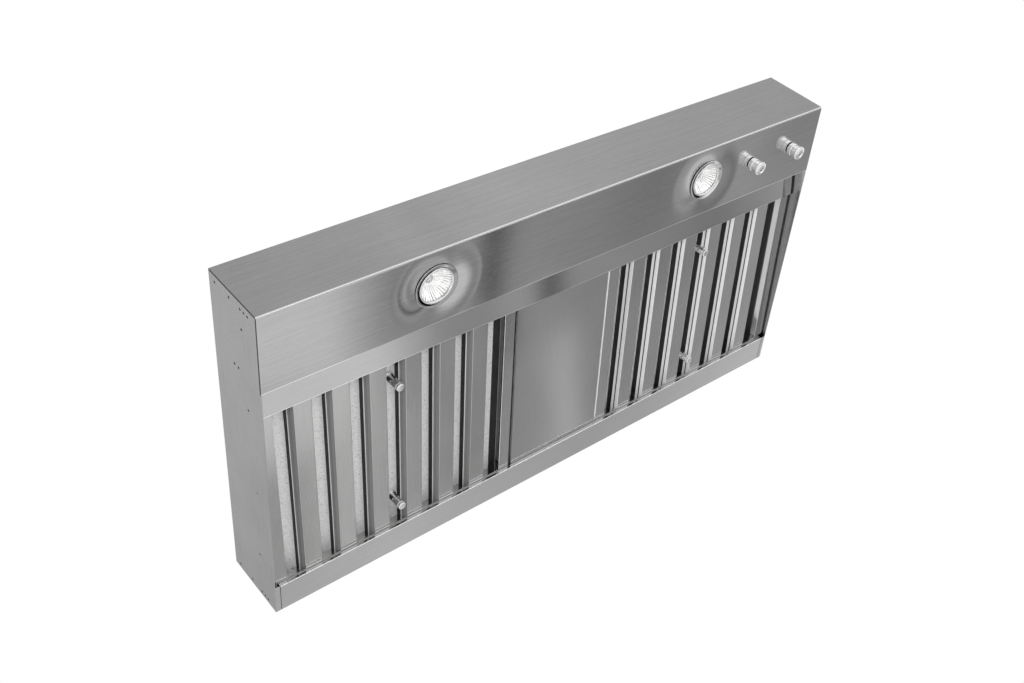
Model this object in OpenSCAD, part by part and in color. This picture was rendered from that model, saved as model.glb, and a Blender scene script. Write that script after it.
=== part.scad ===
/* [Body] */
// Width of the body, end panel to end panel
body_w = 924; // [900:1:980]
// Depth of the body, front face to back
body_d = 490; // [478:1:520]
// Height of the body, underside to top face
body_h = 105; // [98:1:130]
// Thickness of the body's steel sheet
sheet_t = 1.2; // [1:0.1:1.5]
// Outside radius of the fold between front face and light panel
fold_r = 3; // [2:0.5:5]
// Width of the flanges folded along the top edges
top_flange_w = 16; // [12:1:22]
// Width of the upright flanges behind the end panels
end_flange_w = 20; // [18:1:24]
// Slit between an end panel and the front panel's edges
seam_gap = 0.8; // [0.5:0.1:1]

/* [Underside] */
// Depth of the flat light panel behind the front face
light_panel_d = 110.7; // [105:0.1:115]
// Height at which the filter ledge leaves the light panel's rear wall
ledge_front_h = 23; // [22:0.5:25]
// Height of the ledge's rear edge, under its hem
ledge_rear_h = 14.5; // [12:0.5:15.5]
// Depth of the filter ledge
ledge_d = 50.8; // [48:0.1:56]
// Height of the filters' underside at the ledge's hem
ledge_seat_h = 19.4; // [18.8:0.1:20]
// Height of the filters' underside at the rear lip's hem
lip_seat_h = 5.8; // [4.5:0.1:7]
// Depth of the rear lip
lip_d = 45; // [42:1:50]
// Distance that the rear lip stops short of each end
lip_end_gap = 8.5; // [6:0.5:10]
// Height of the rail that stops the filters at the back
stop_rail_h = 14; // [10:1:16]

/* [Baffle filters] */
// Most air slots in each filter
slots = 7; // [5:1:7]
// Width of an air slot
slot_w = 28; // [26:0.5:28]
// Width of a front baffle's flat
flat_w = 24; // [23:0.5:24]
// Width of a filter frame's rails
rail_w = 18.5; // [17:0.5:18.5]
// Width of a filter frame's front and rear rails
end_rail_w = 14; // [12:1:18]
// Height of a baffle's flange
flange_rise = 10.6; // [9:0.1:10.8]
// Outward lean of a baffle's flange
flange_lean = 4.35; // [3:0.05:5]
// Depth of a filter frame
filter_h = 24.1; // [23.5:0.1:26]
// Thickness of the filters' sheet
filter_t = 0.8; // [0.6:0.1:1]
// Length of a filter that lies on the ledge's hem
ledge_lap = 11.5; // [9:0.5:13]
// Length of a filter that lies on the rear lip
lip_lap = 12; // [10:0.5:13]
// Gap between a filter and the end panel beside it
filter_side_gap = 1.3; // [1:0.1:2]
// Gap between a filter and the centre spacer
spacer_gap = 3; // [2:0.5:5]
// Least width of the centre spacer, below which the filters lose a slot
spacer_min_w = 100; // [90:5:150]
// Height of the centre spacer's side flanges
spacer_h = 20; // [12:1:24]
// Radius of a filter handle
handle_r = 5.5; // [4.5:0.1:6.5]
// Length of a filter handle below the filter's face
handle_drop = 9.5; // [6:0.5:14]
// Distance of the front handle from the filter's front end
handle_front = 52; // [40:1:80]
// Distance of the rear handle from the filter's rear end
handle_rear = 49; // [35:1:80]

/* [Lamps] */
// Distance between the two lamps
lamp_spacing = 457; // [430:1:470]
// Distance of the lamps from the front face
lamp_y = 52.5; // [45:0.5:60]
// Radius of a lamp's trim ring
trim_r = 30.7; // [30:0.1:34]
// Thickness of the trim ring's flange
trim_t = 1.6; // [1:0.1:2.5]
// Radius of a lamp's front glass
lamp_glass_r = 24.6; // [24:0.1:25]
// Thickness of a lamp's front glass
lamp_glass_t = 2; // [1.5:0.1:3]
// Depth of a lamp's reflector
reflector_h = 35; // [30:1:40]

/* [Controls] */
// Position of the fan speed knob to the right of the centre
fan_knob_x = 323; // [310:1:340]
// Position of the light dimmer knob to the right of the centre
dimmer_knob_x = 407.5; // [395:0.5:415]
// Distance of both knobs from the front face
knob_y = 53.8; // [45:0.1:60]
// Radius of a knob's body
knob_r = 9; // [8.8:0.1:12]
// Radius of the flared rim at a knob's end
knob_rim_r = 10.9; // [10.5:0.1:14]
// Length of a knob
knob_len = 20; // [17:0.5:26]
// Gap between a knob and the light panel
knob_gap = 1; // [0.5:0.1:1.5]
// Radius of a control's shaft
shaft_r = 3; // [2.5:0.1:3.2]
// Radius of a control's threaded bushing
bushing_r = 4.75; // [4.5:0.05:5]

/* [Blower] */
// Width of the blower box
box_w = 340; // [320:2:400]
// Depth of the blower box
box_d = 270; // [260:1:300]
// Height of the blower box above the body
box_h = 175; // [172:1:185]
// Distance of the blower box from the front face
box_y = 150; // [145:1:155]
// Width of the blower box's foot flange
foot_w = 14; // [12:1:20]
// Radius of the blower wheel
wheel_r = 60; // [54:1:62]
// Width of the blower wheel
wheel_w = 124; // [100:1:130]
// Number of blades on the wheel
blades = 32; // [24:1:40]
// Depth of a blade
blade_d = 11; // [8:1:14]
// Width of the scroll between its side plates
scroll_w = 150; // [142:1:156]
// Radius of the scroll at its tongue
scroll_r0 = 66; // [65:0.5:67]
// Radius of the scroll at its outlet
scroll_r1 = 104; // [98:1:106]
// Height of the wheel's shaft above the body's top face
shaft_h = 96; // [94:1:98]
// Distance of the wheel's shaft behind the box's front
shaft_back = 90; // [86:1:94]
// Radius of the scroll's inlets
inlet_r = 50; // [44:1:54]
// Radius of the motor
motor_r = 34; // [30:1:36]
// Length of the motor
motor_len = 92; // [80:1:96]

/* [Duct collar and damper] */
// Outside radius of the duct collar
collar_r = 100; // [97:0.5:101.5]
// Height of the duct collar
collar_h = 50; // [40:1:60]
// Wall of the duct collar
collar_t = 1; // [0.8:0.1:1.5]
// Width of the collar's base flange
collar_flange_w = 16; // [14:1:20]
// Height of the damper's pin above the blower box
damper_h = 14; // [12:0.5:18]
// Radius of the damper's pin
pin_r = 2; // [1.5:0.1:2.5]
// Thickness of a damper flap
flap_t = 1; // [0.8:0.1:1.5]

/* [Fixings and wiring] */
// Spacing of the top fixing holes across the body
fixing_w = 860; // [820:1:880]
// Spacing of the top fixing holes front to back
fixing_d = 430; // [420:1:440]
// Radius of the top fixing holes
fixing_r = 3.25; // [2.5:0.05:4]
// Radius of the end panels' holes
end_hole_r = 1.75; // [1.5:0.05:2]
// Distance of the end panels' front row of holes from the front face
end_hole_front = 11; // [9:0.5:14]
// Distance of the end panels' rear row of holes from the back
end_hole_back = 7; // [6:0.5:9]
// Radius of the wiring knockout
knockout_r = 11.1; // [10.9:0.1:14.2]
// Position of the junction box to the left of the centre
junction_x = 330; // [310:1:350]
// Radius of the screws' shanks
screw_r = 2; // [1.5:0.1:2.2]
// Radius of the wiring loom
loom_r = 3; // [2:0.5:4]

/* [Hidden] */
$fn = 48;
// Running clearance of shafts and pins in their bores
run_gap = 0.05;
// Clearance of a piece that lies on its seat
seat_gap = 0.3;
// Clearance round a screw's shank
screw_gap = 0.05;

half_w = body_w / 2;
wall_x = half_w - sheet_t;
wall_h = body_h - sheet_t;
flange_x = wall_x - sheet_t;

ledge_y = light_panel_d + ledge_d;
lip_y = body_d - lip_d;
tilt = atan((ledge_seat_h - lip_seat_h) / (lip_y - ledge_y));
riser_top_lap = 3;

filter_y = ledge_y - ledge_lap;
filter_l = (lip_y + lip_lap - filter_y) / cos(tilt);
filter_rear_y = lip_y + lip_lap;
pitch = slot_w + flat_w;
slot_room = wall_x - filter_side_gap - 2 * rail_w - spacer_gap - spacer_min_w / 2 + flat_w;
slot_count = min(slots, floor(slot_room / pitch));
filter_w = 2 * rail_w + slot_count * pitch - flat_w;
filter_x = wall_x - filter_side_gap - filter_w / 2;
inner_h = filter_h - 2 * filter_t;
spacer_w = 2 * (filter_x - filter_w / 2 - spacer_gap);
handle_slot = floor(slot_count / 2);
handle_boss_r = handle_r + 1.5;
handle_boss_h = 6;
handle_edge = 0.8;

trim_barrel_h = 14;
trim_barrel_t = 0.8;
glass_lap = 1.6;
glass_gap = 0.7;
barrel_gap = 0.4;
trim_lip_r = lamp_glass_r - glass_lap;
trim_lip_t = 1;
barrel_r = lamp_glass_r + glass_gap + trim_barrel_t;
lamp_hole_r = barrel_r + barrel_gap;
reflector_z = trim_lip_t + lamp_glass_t;
neck_r = 9;
neck_h = 8;
neck_bore_r = 5;
reflector_t = 1.2;
bulb_r = 4.5;
bulb_len = 24;
socket_r = 12;
socket_h = 16;
socket_top = reflector_z + reflector_h + socket_h;
spring_w = 8;
spring_t = 0.6;
spring_reach = 6;
spring_curl = 4;
spring_curl_h = 3;
spring_hook = 1.5;

nut_h = 2.4;
nut_wall = 2.6;
nut_r = bushing_r + nut_wall;
bushing_drop = 5;
knob_bore_depth = 5.6;
knob_bore_gap = 0.5;
knob_dish_h = 1.5;
knob_rim_t = 2.4;
knob_edge = 0.8;
knob_flare_h = 5;
shaft_in_knob = 14;
shaft_rise = 14;
fan_control = [42, 40, 24];
dimmer_control = [32, 36, 20];

scroll_t = 1;
shaft_y = box_y + shaft_back;
shaft_z = body_h + shaft_h;
box_top = body_h + box_h;
tongue_back = 6;
throat_y = shaft_y + tongue_back;
throat_end_y = shaft_y + scroll_r1;
collar_y = (throat_y + throat_end_y) / 2;
outlet_margin = 1;
inlet_margin = 15;
motor_gap = 7;
motor_bell = 6;
motor_shaft_r = 4;
hub_r = 10;
hub_len = 20;
wheel_disc_t = 2;
wheel_ring_t = 1.5;
blade_t = 1;
blade_inset = 0.2;
bracket_t = 2;
bracket_ring_t = 2.5;
bracket_arm = 14;

damper_z = box_top + damper_h;
flap_gap = 1.5;
flap_r = collar_r - collar_t - flap_gap;
knuckle_wall = 1.5;
knuckle_gap = 0.7;
knuckle_r = pin_r + knuckle_wall;
knuckle_len = 28;
knuckle_pitch = 30;
stop_ring_w = 6;
stop_ring_t = 1.5;

screw_head_r = 2 * screw_r;
screw_head_h = 1.2 * screw_r;
screw_len = 6;

junction_w = 80;
junction_d = 60;
junction_h = 45;
junction_y = 60;
loom_y = 80;
loom_z = 68;
lead_inset = 28;
lead_x = lead_inset - box_w / 2;
lead_z = 90;
transformer = [110, 46, 30];
terminals = [46, 14, 18];
terminal_rise = 6;

// Heights of the holes near the upright edges of the end panels
end_hole_heights = [19, 27, 35, 60, 92];
// Depth and height of the other holes in the end panels
middle_holes = [[40, 35.5], [106, 59], [106, 50], [159, 33.5], [290, 27], [407.5, 32.5]];
bracket_back = 4;

// Path of the scroll's wall in depth and height
scroll_top = box_top - sheet_t;
scroll_step = 10;
scroll_path = concat(
    [[throat_y, scroll_top], [throat_y, shaft_z + scroll_r0]],
    [for (a = [90:scroll_step:360]) [shaft_y, shaft_z] + scroll_r(a) * [cos(a), sin(a)]],
    [[throat_end_y, scroll_top]]
);

// Height of the filters' underside at a distance from the front face
function seat_z(y) = ledge_seat_h - (y - ledge_y) * tan(tilt);

// Unit vector along v
function unit(v) = v / norm(v);

// Vector turned a quarter turn to the left
function left_of(v) = [-v[1], v[0]];

// Point of a path moved t to its left, with a mitred corner
function offset_point(path, i, t) =
    let (
        here = i > 0 ? path[i] - path[i - 1] : path[1] - path[0],
        next = i < len(path) - 1 ? path[i + 1] - path[i] : here,
        a = left_of(unit(here)),
        b = left_of(unit(next))
    )
    path[i] + t * (a + b) / (1 + a * b);

// Outline of a bent sheet whose one face follows the path
function sheet_outline(path, t) =
    concat(path, [for (i = [len(path) - 1:-1:0]) offset_point(path, i, t)]);

// Points along an arc
function arc(centre, r, from, to, steps) =
    [for (i = [0:steps]) let (a = from + (to - from) * i / steps) centre + r * [cos(a), sin(a)]];

// Moves what is measured from the front face and the underside into the part's frame
module from_front() {
    translate([0, -body_d / 2, -body_h]) children();
}

// Extrudes an outline drawn in depth and height across the body
module across(width) {
    translate([-width / 2, 0, 0]) rotate([90, 0, 90]) linear_extrude(width) children();
}

// Lays what is drawn in a filter's own plane onto its two seats
module on_seats() {
    from_front() translate([0, filter_y, seat_z(filter_y)]) rotate([-tilt, 0, 0]) children();
}

// Round rod along X between two places
module rod_x(x0, x1, y, z, r) {
    translate([min(x0, x1), y, z]) rotate([0, 90, 0]) cylinder(r = r, h = abs(x1 - x0));
}

// Round rod along Y between two places
module rod_y(x, y0, y1, z, r) {
    translate([x, max(y0, y1), z]) rotate([90, 0, 0]) cylinder(r = r, h = abs(y1 - y0));
}

// Round rod along Z between two places
module rod_z(x, y, z0, z1, r) {
    translate([x, y, min(z0, z1)]) cylinder(r = r, h = abs(z1 - z0));
}

// Pan head screw whose head stands on z = 0
module pan_screw() {
    cylinder(r = screw_head_r, h = screw_head_h);
    translate([0, 0, -screw_len]) cylinder(r = screw_r, h = screw_len);
}

// Front and rear rows of holes, which pass through an end panel and the flange behind it
module end_rows(r) {
    for (z = end_hole_heights, y = [end_hole_front, body_d - end_hole_back])
        rod_x(-body_w, body_w, y, z, r);
}

// The body's sheets

module front_panel() {
    face = concat(
        [[0, wall_h]],
        arc([fold_r, fold_r], fold_r, 180, 270, 6),
        [[light_panel_d, 0]]
    );
    folded = concat([[top_flange_w, wall_h]], face, [[light_panel_d, ledge_front_h + riser_top_lap]]);
    color("silver") from_front() difference() {
        union() {
            across(body_w) polygon(sheet_outline(face, sheet_t));
            across(2 * wall_x) polygon(sheet_outline(folded, sheet_t));
            for (side = [0, 1]) mirror([side, 0, 0])
                translate([flange_x, 0, fold_r]) cube([sheet_t, end_flange_w, wall_h - fold_r]);
        }
        end_rows(end_hole_r);
        for (x = [-lamp_spacing / 2, lamp_spacing / 2])
            rod_z(x, lamp_y, -1, sheet_t + 1, lamp_hole_r);
        for (x = [fan_knob_x, dimmer_knob_x])
            rod_z(x, knob_y, -1, sheet_t + 1, bushing_r + run_gap);
    }
}

// End panel with the small holes along its edges and its middle
module end_panel() {
    front = sheet_t + seam_gap;
    outline = [
        [front, front], [light_panel_d + seam_gap, front], [light_panel_d + seam_gap, 0],
        [body_d - sheet_t, 0], [body_d - sheet_t, wall_h], [front, wall_h]
    ];
    color("gainsboro") from_front() difference() {
        translate([wall_x, 0, 0]) rotate([90, 0, 90]) linear_extrude(sheet_t) polygon(outline);
        end_rows(end_hole_r);
        for (hole = middle_holes) rod_x(0, body_w, hole[0], hole[1], end_hole_r);
    }
}

module left_end_panel() {
    mirror([1, 0, 0]) end_panel();
}

module right_end_panel() {
    end_panel();
}

module rear_panel() {
    hem_top = seat_z(lip_y + sheet_t) - seat_gap;
    lip = [[lip_y, hem_top], [lip_y, 0], [body_d, 0], [body_d, top_flange_w]];
    wall = [[body_d, 0], [body_d, wall_h]];
    top = [[body_d, wall_h - top_flange_w], [body_d, wall_h], [body_d - top_flange_w, wall_h]];
    color("silver") from_front() difference() {
        union() {
            across(2 * (half_w - lip_end_gap)) polygon(sheet_outline(lip, sheet_t));
            across(body_w) polygon(sheet_outline(wall, sheet_t));
            across(2 * wall_x) polygon(sheet_outline(top, sheet_t));
            for (side = [0, 1]) mirror([side, 0, 0])
                translate([flange_x, body_d - end_flange_w, stop_rail_h])
                    cube([sheet_t, end_flange_w, wall_h - stop_rail_h]);
        }
        end_rows(end_hole_r);
    }
}

// Small angles that close the rear corners beside the lip
module rear_corner_brackets() {
    leg_x = half_w - lip_end_gap + seam_gap;
    color("gainsboro") from_front() for (side = [0, 1]) mirror([side, 0, 0]) {
        translate([leg_x, lip_y, 0]) cube([wall_x - leg_x, lip_d - sheet_t, sheet_t]);
        translate([flange_x, filter_rear_y + bracket_back, 0])
            cube([sheet_t, body_d - sheet_t - filter_rear_y - bracket_back, stop_rail_h - seam_gap]);
    }
}

module top_panel() {
    color("lightgray") from_front() difference() {
        translate([-half_w, 0, wall_h]) cube([body_w, body_d, sheet_t]);
        translate([inlet_margin - box_w / 2, box_y + inlet_margin, wall_h - 1])
            cube([box_w - 2 * inlet_margin, box_d - 2 * inlet_margin, sheet_t + 2]);
        for (x = [-fixing_w / 2, fixing_w / 2], y = [-fixing_d / 2, fixing_d / 2])
            rod_z(x, body_d / 2 + y, wall_h - 1, body_h + 1, fixing_r);
        rod_z(-junction_x, junction_y, wall_h - 1, body_h + 1, knockout_r);
        box_screw_places() rod_z(0, 0, -sheet_t - 2, 1, screw_r + screw_gap);
    }
}

// Sloping ledge that carries the filters' front ends, with the wall behind the light panel
module filter_ledge() {
    path = [
        [light_panel_d, wall_h], [light_panel_d, ledge_front_h],
        [ledge_y, ledge_rear_h], [ledge_y, ledge_seat_h - seat_gap]
    ];
    color("silver") from_front() difference() {
        across(2 * wall_x) polygon(sheet_outline(path, sheet_t));
        rod_y(lead_x, light_panel_d - 1, light_panel_d + sheet_t + 1, lead_z, loom_r + run_gap);
    }
}

// Upright rail on the lip, against which the filters' rear ends lie
module rear_stop_rail() {
    rail_top = sheet_t + stop_rail_h;
    rail_y = filter_rear_y + (rail_top - seat_z(filter_rear_y)) * tan(tilt) + seat_gap;
    path = [[rail_y, rail_top], [rail_y, sheet_t], [rail_y + stop_rail_h, sheet_t]];
    color("gainsboro") from_front()
        across(2 * (half_w - lip_end_gap)) polygon(sheet_outline(path, sheet_t));
}

// Blank channel between the two filters
module centre_spacer() {
    half = spacer_w / 2;
    path = [[-half, spacer_h], [-half, 0], [half, 0], [half, spacer_h]];
    color("silver") on_seats() translate([0, filter_l, 0]) rotate([90, 0, 0])
        linear_extrude(filter_l) polygon(sheet_outline(path, sheet_t));
}

// The baffle filters

// Frame of channel section, open inwards
module filter_frame() {
    inside = filter_t;
    difference() {
        translate([-filter_w / 2, 0, 0]) cube([filter_w, filter_l, filter_h]);
        translate([inside - filter_w / 2, inside, filter_t])
            cube([filter_w - 2 * inside, filter_l - 2 * inside, inner_h]);
        translate([rail_w - filter_w / 2, end_rail_w, -1])
            cube([filter_w - 2 * rail_w, filter_l - 2 * end_rail_w, filter_h + 2]);
    }
}

// One baffle: a flat with two flanges that lean outwards as they rise
module baffle() {
    half = flat_w / 2;
    path = [
        [-half - flange_lean, flange_rise], [-half, 0],
        [half, 0], [half + flange_lean, flange_rise]
    ];
    translate([0, filter_l - filter_t, 0]) rotate([90, 0, 0])
        linear_extrude(filter_l - 2 * filter_t) polygon(sheet_outline(path, filter_t));
}

// Flats that show from below, between the slots
module filter_front_baffles() {
    for (i = [1:slot_count - 1])
        translate([rail_w + i * pitch - flat_w / 2 - filter_w / 2, 0, filter_t]) baffle();
}

// Upturned baffles that close each slot from above
module filter_rear_baffles() {
    difference() {
        for (i = [0:slot_count - 1])
            translate([slot_x(i), 0, filter_h - filter_t]) mirror([0, 0, 1]) baffle();
        handle_places() cylinder(r = screw_r + screw_gap, h = filter_h);
    }
}

// Middle of a slot, from the middle of the filter
function slot_x(i) = rail_w + slot_w / 2 + i * pitch - filter_w / 2;

module handle_places() {
    for (v = [handle_front, filter_l - handle_rear]) translate([slot_x(handle_slot), v, 0]) children();
}

// Two turned handles that hang through the middle slot
module filter_handles() {
    top = filter_h - 2 * filter_t;
    profile = [
        [0, -handle_drop], [handle_r - handle_edge, -handle_drop], [handle_r, handle_edge - handle_drop],
        [handle_r, top - handle_boss_h], [handle_boss_r, top - handle_boss_h],
        [handle_boss_r, top], [0, top]
    ];
    handle_places() difference() {
        rotate_extrude() polygon(profile);
        translate([0, 0, top - screw_len]) cylinder(r = screw_r + screw_gap, h = screw_len + 1);
    }
}

module filter_handle_screws() {
    handle_places() translate([0, 0, filter_h - filter_t]) pan_screw();
}

module at_filter(side) {
    on_seats() translate([side * filter_x, 0, 0]) children();
}

module left_filter_frame() {
    color("silver") at_filter(-1) filter_frame();
}

module left_filter_front_baffles() {
    color("silver") at_filter(-1) filter_front_baffles();
}

module left_filter_rear_baffles() {
    color("gray") at_filter(-1) filter_rear_baffles();
}

module left_filter_handles() {
    color("whitesmoke") at_filter(-1) filter_handles();
}

module left_filter_handle_screws() {
    color("darkgray") at_filter(-1) filter_handle_screws();
}

module right_filter_frame() {
    color("silver") at_filter(1) filter_frame();
}

module right_filter_front_baffles() {
    color("silver") at_filter(1) filter_front_baffles();
}

module right_filter_rear_baffles() {
    color("gray") at_filter(1) filter_rear_baffles();
}

module right_filter_handles() {
    color("whitesmoke") at_filter(1) filter_handles();
}

module right_filter_handle_screws() {
    color("darkgray") at_filter(1) filter_handle_screws();
}

// The lamps

module at_lamp(side) {
    from_front() translate([side * lamp_spacing / 2, lamp_y, 0]) children();
}

// Trim ring: a bevelled flange under the panel, a lip that carries the glass and a barrel
module lamp_trim() {
    inside = barrel_r - trim_barrel_t;
    profile = [
        [trim_lip_r, -trim_t / 2], [trim_lip_r + trim_t, -trim_t], [trim_r - trim_t, -trim_t], [trim_r, 0],
        [barrel_r, 0], [barrel_r, trim_barrel_h], [inside, trim_barrel_h], [inside, trim_lip_t],
        [trim_lip_r, trim_lip_t]
    ];
    rotate_extrude() polygon(profile);
}

module lamp_glass() {
    translate([0, 0, trim_lip_t]) cylinder(r = lamp_glass_r, h = lamp_glass_t);
}

// Bowl reflector with a neck, its wall following a rising curve
module lamp_reflector() {
    bowl_h = reflector_h - neck_h;
    steps = 8;
    bowl = [for (i = [0:steps]) [
        neck_r + (lamp_glass_r - neck_r) * sqrt(1 - i / steps), bowl_h * i / steps
    ]];
    inner = [for (i = [steps:-1:0]) [
        max(neck_bore_r, bowl[i][0] - reflector_t - (neck_r - neck_bore_r - reflector_t) * i / steps),
        bowl[i][1] - (i == 0 ? 0 : reflector_t * i / steps)
    ]];
    profile = concat(bowl, [[neck_r, reflector_h], [neck_bore_r, reflector_h]], inner);
    translate([0, 0, reflector_z]) rotate_extrude() polygon(profile);
}

// Capsule bulb on the reflector's axis
module lamp_bulb() {
    top = reflector_z + reflector_h;
    translate([0, 0, top - bulb_len + bulb_r]) {
        sphere(r = bulb_r);
        cylinder(r = bulb_r, h = bulb_len - bulb_r);
    }
}

module lamp_socket() {
    translate([0, 0, reflector_z + reflector_h]) cylinder(r = socket_r, h = socket_h);
}

// Two leaf springs that hook on the barrel's rim and press on the panel
module lamp_springs() {
    tip = trim_r + spring_reach;
    path = [
        [tip + spring_curl, sheet_t + spring_curl_h], [tip, sheet_t],
        [barrel_r + spring_hook, trim_barrel_h + spring_hook],
        [barrel_r - trim_barrel_t, trim_barrel_h]
    ];
    for (side = [0, 1]) mirror([side, 0, 0])
        translate([0, spring_w / 2, 0]) rotate([90, 0, 0])
            linear_extrude(spring_w) polygon(sheet_outline(path, -spring_t));
}

module left_lamp_trim() {
    color("gainsboro") at_lamp(-1) lamp_trim();
}

module left_lamp_glass() {
    color("white", 0.4) at_lamp(-1) lamp_glass();
}

module left_lamp_reflector() {
    color("white") at_lamp(-1) lamp_reflector();
}

module left_lamp_bulb() {
    color("lightyellow") at_lamp(-1) lamp_bulb();
}

module left_lamp_socket() {
    color("ivory") at_lamp(-1) lamp_socket();
}

module left_lamp_springs() {
    color("gray") at_lamp(-1) lamp_springs();
}

module right_lamp_trim() {
    color("gainsboro") at_lamp(1) lamp_trim();
}

module right_lamp_glass() {
    color("white", 0.4) at_lamp(1) lamp_glass();
}

module right_lamp_reflector() {
    color("white") at_lamp(1) lamp_reflector();
}

module right_lamp_bulb() {
    color("lightyellow") at_lamp(1) lamp_bulb();
}

module right_lamp_socket() {
    color("ivory") at_lamp(1) lamp_socket();
}

module right_lamp_springs() {
    color("gray") at_lamp(1) lamp_springs();
}

// The controls

module at_knob(x) {
    from_front() translate([x, knob_y, 0]) children();
}

// Turned knob with a flared rim, a dished end, and a back bored out round the lock nut
module knob() {
    end = -knob_gap - knob_len;
    dish_r = knob_rim_r - knob_rim_t;
    bore_r = nut_r + knob_bore_gap;
    profile = [
        [0, end + knob_dish_h], [dish_r, end + knob_dish_h], [dish_r + knob_edge, end],
        [knob_rim_r - knob_edge, end], [knob_rim_r, end + knob_edge],
        [knob_rim_r, end + knob_flare_h / 2], [knob_r, end + knob_flare_h],
        [knob_r, -knob_gap - knob_edge / 2], [knob_r - knob_edge / 2, -knob_gap],
        [bore_r, -knob_gap], [bore_r, -knob_gap - knob_bore_depth], [0, -knob_gap - knob_bore_depth]
    ];
    difference() {
        rotate_extrude() polygon(profile);
        rod_z(0, 0, -shaft_in_knob, 0, shaft_r + run_gap / 2);
    }
}

module control_shaft() {
    rod_z(0, 0, -shaft_in_knob, shaft_rise, shaft_r);
}

// Rotary control: a case on top of the light panel and a threaded bushing through it
module rotary_control(case) {
    difference() {
        union() {
            translate([-case[0] / 2, -case[1] / 2, sheet_t]) cube(case);
            rod_z(0, 0, -bushing_drop, sheet_t + 1, bushing_r);
        }
        rod_z(0, 0, -bushing_drop - 1, shaft_rise + seat_gap, shaft_r + run_gap);
    }
}

module fan_speed_control() {
    color("dimgray") at_knob(fan_knob_x) rotary_control(fan_control);
}

module light_dimmer_control() {
    color("dimgray") at_knob(dimmer_knob_x) rotary_control(dimmer_control);
}

module control_lock_nuts() {
    color("goldenrod") for (x = [fan_knob_x, dimmer_knob_x]) at_knob(x) difference() {
        translate([0, 0, -nut_h]) cylinder(r = nut_r, h = nut_h, $fn = 6);
        translate([0, 0, -nut_h - 1]) cylinder(r = bushing_r + run_gap, h = nut_h + 2);
    }
}

module fan_speed_knob() {
    color("whitesmoke") at_knob(fan_knob_x) knob();
}

module fan_speed_shaft() {
    color("darkgray") at_knob(fan_knob_x) control_shaft();
}

module light_dimmer_knob() {
    color("whitesmoke") at_knob(dimmer_knob_x) knob();
}

module light_dimmer_shaft() {
    color("darkgray") at_knob(dimmer_knob_x) control_shaft();
}

// The wiring

module lamp_transformer() {
    color("dimgray") from_front()
        translate([-transformer[0] / 2, lamp_y - transformer[1] / 2, sheet_t]) cube(transformer);
}

module at_junction() {
    from_front() translate([-junction_x, junction_y, wall_h]) children();
}

// Steel box under the top panel, open below
module junction_box() {
    color("lightgray") at_junction() difference() {
        translate([-junction_w / 2, -junction_d / 2, -junction_h])
            cube([junction_w, junction_d, junction_h]);
        translate([sheet_t - junction_w / 2, sheet_t - junction_d / 2, -junction_h - sheet_t])
            cube([junction_w - 2 * sheet_t, junction_d - 2 * sheet_t, junction_h]);
        rod_z(0, 0, -2 * sheet_t, 1, knockout_r);
    }
}

module junction_box_cover() {
    color("silver") at_junction()
        translate([-junction_w / 2, -junction_d / 2, -junction_h - sheet_t])
            cube([junction_w, junction_d, sheet_t]);
}

// Terminal block on the box's rear wall
module terminal_block() {
    rear = junction_d / 2 - sheet_t;
    color("ivory") at_junction()
        translate([-terminals[0] / 2, rear - terminals[1], terminal_rise - junction_h]) cube(terminals);
}

// Branch that leaves the loom forwards and drops to the piece under it
module loom_drop(x, y, z_end) {
    rod_y(x, y, loom_y, loom_z, loom_r);
    translate([x, y, loom_z]) sphere(r = loom_r);
    rod_z(x, y, z_end, loom_z, loom_r);
}

module wiring_loom() {
    color("black") from_front() {
        rod_x(junction_w / 2 - junction_x, dimmer_knob_x, loom_y, loom_z, loom_r);
        translate([dimmer_knob_x, loom_y, loom_z]) sphere(r = loom_r);
        for (side = [-1, 1]) loom_drop(side * lamp_spacing / 2, lamp_y, socket_top);
        loom_drop(0, lamp_y, sheet_t + transformer[2]);
        loom_drop(fan_knob_x, knob_y, sheet_t + fan_control[2]);
        loom_drop(dimmer_knob_x, knob_y, sheet_t + dimmer_control[2]);
    }
}

// The blower on top

module blower_box() {
    color("lightgray") from_front() difference() {
        union() {
            translate([-box_w / 2, box_y, body_h]) cube([box_w, box_d, box_h]);
            translate([-box_w / 2 - foot_w, box_y - foot_w, body_h])
                cube([box_w + 2 * foot_w, box_d + 2 * foot_w, sheet_t]);
        }
        translate([sheet_t - box_w / 2, box_y + sheet_t, body_h - 1])
            cube([box_w - 2 * sheet_t, box_d - 2 * sheet_t, box_h + 1 - sheet_t]);
        translate([outlet_margin - scroll_w / 2, throat_y + outlet_margin, box_top - sheet_t - 1])
            cube([scroll_w - 2 * outlet_margin, throat_end_y - throat_y - 2 * outlet_margin, sheet_t + 2]);
        box_screw_places() rod_z(0, 0, -1, sheet_t + 1, screw_r + screw_gap);
        collar_screw_places() rod_z(0, 0, -sheet_t - 1, 1, screw_r + screw_gap);
    }
}

// Places of the screws along the blower box's foot flange, on the body's top face
module box_screw_places() {
    side = box_w / 2 + foot_w / 2;
    ends = [box_y - foot_w / 2, box_y + box_d + foot_w / 2];
    for (x = [-side, 0, side], y = ends) translate([x, y, body_h]) children();
    for (x = [-side, side]) translate([x, box_y + box_d / 2, body_h]) children();
}

module blower_box_screws() {
    color("gray") from_front() box_screw_places() translate([0, 0, sheet_t]) pan_screw();
}

// Radius of the scroll at an angle from the shaft, growing from the tongue to the outlet
function scroll_r(angle) = scroll_r0 + (scroll_r1 - scroll_r0) * (angle - 90) / 270;

module scroll_band() {
    color("silver") from_front() across(scroll_w) polygon(sheet_outline(scroll_path, scroll_t));
}

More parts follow.
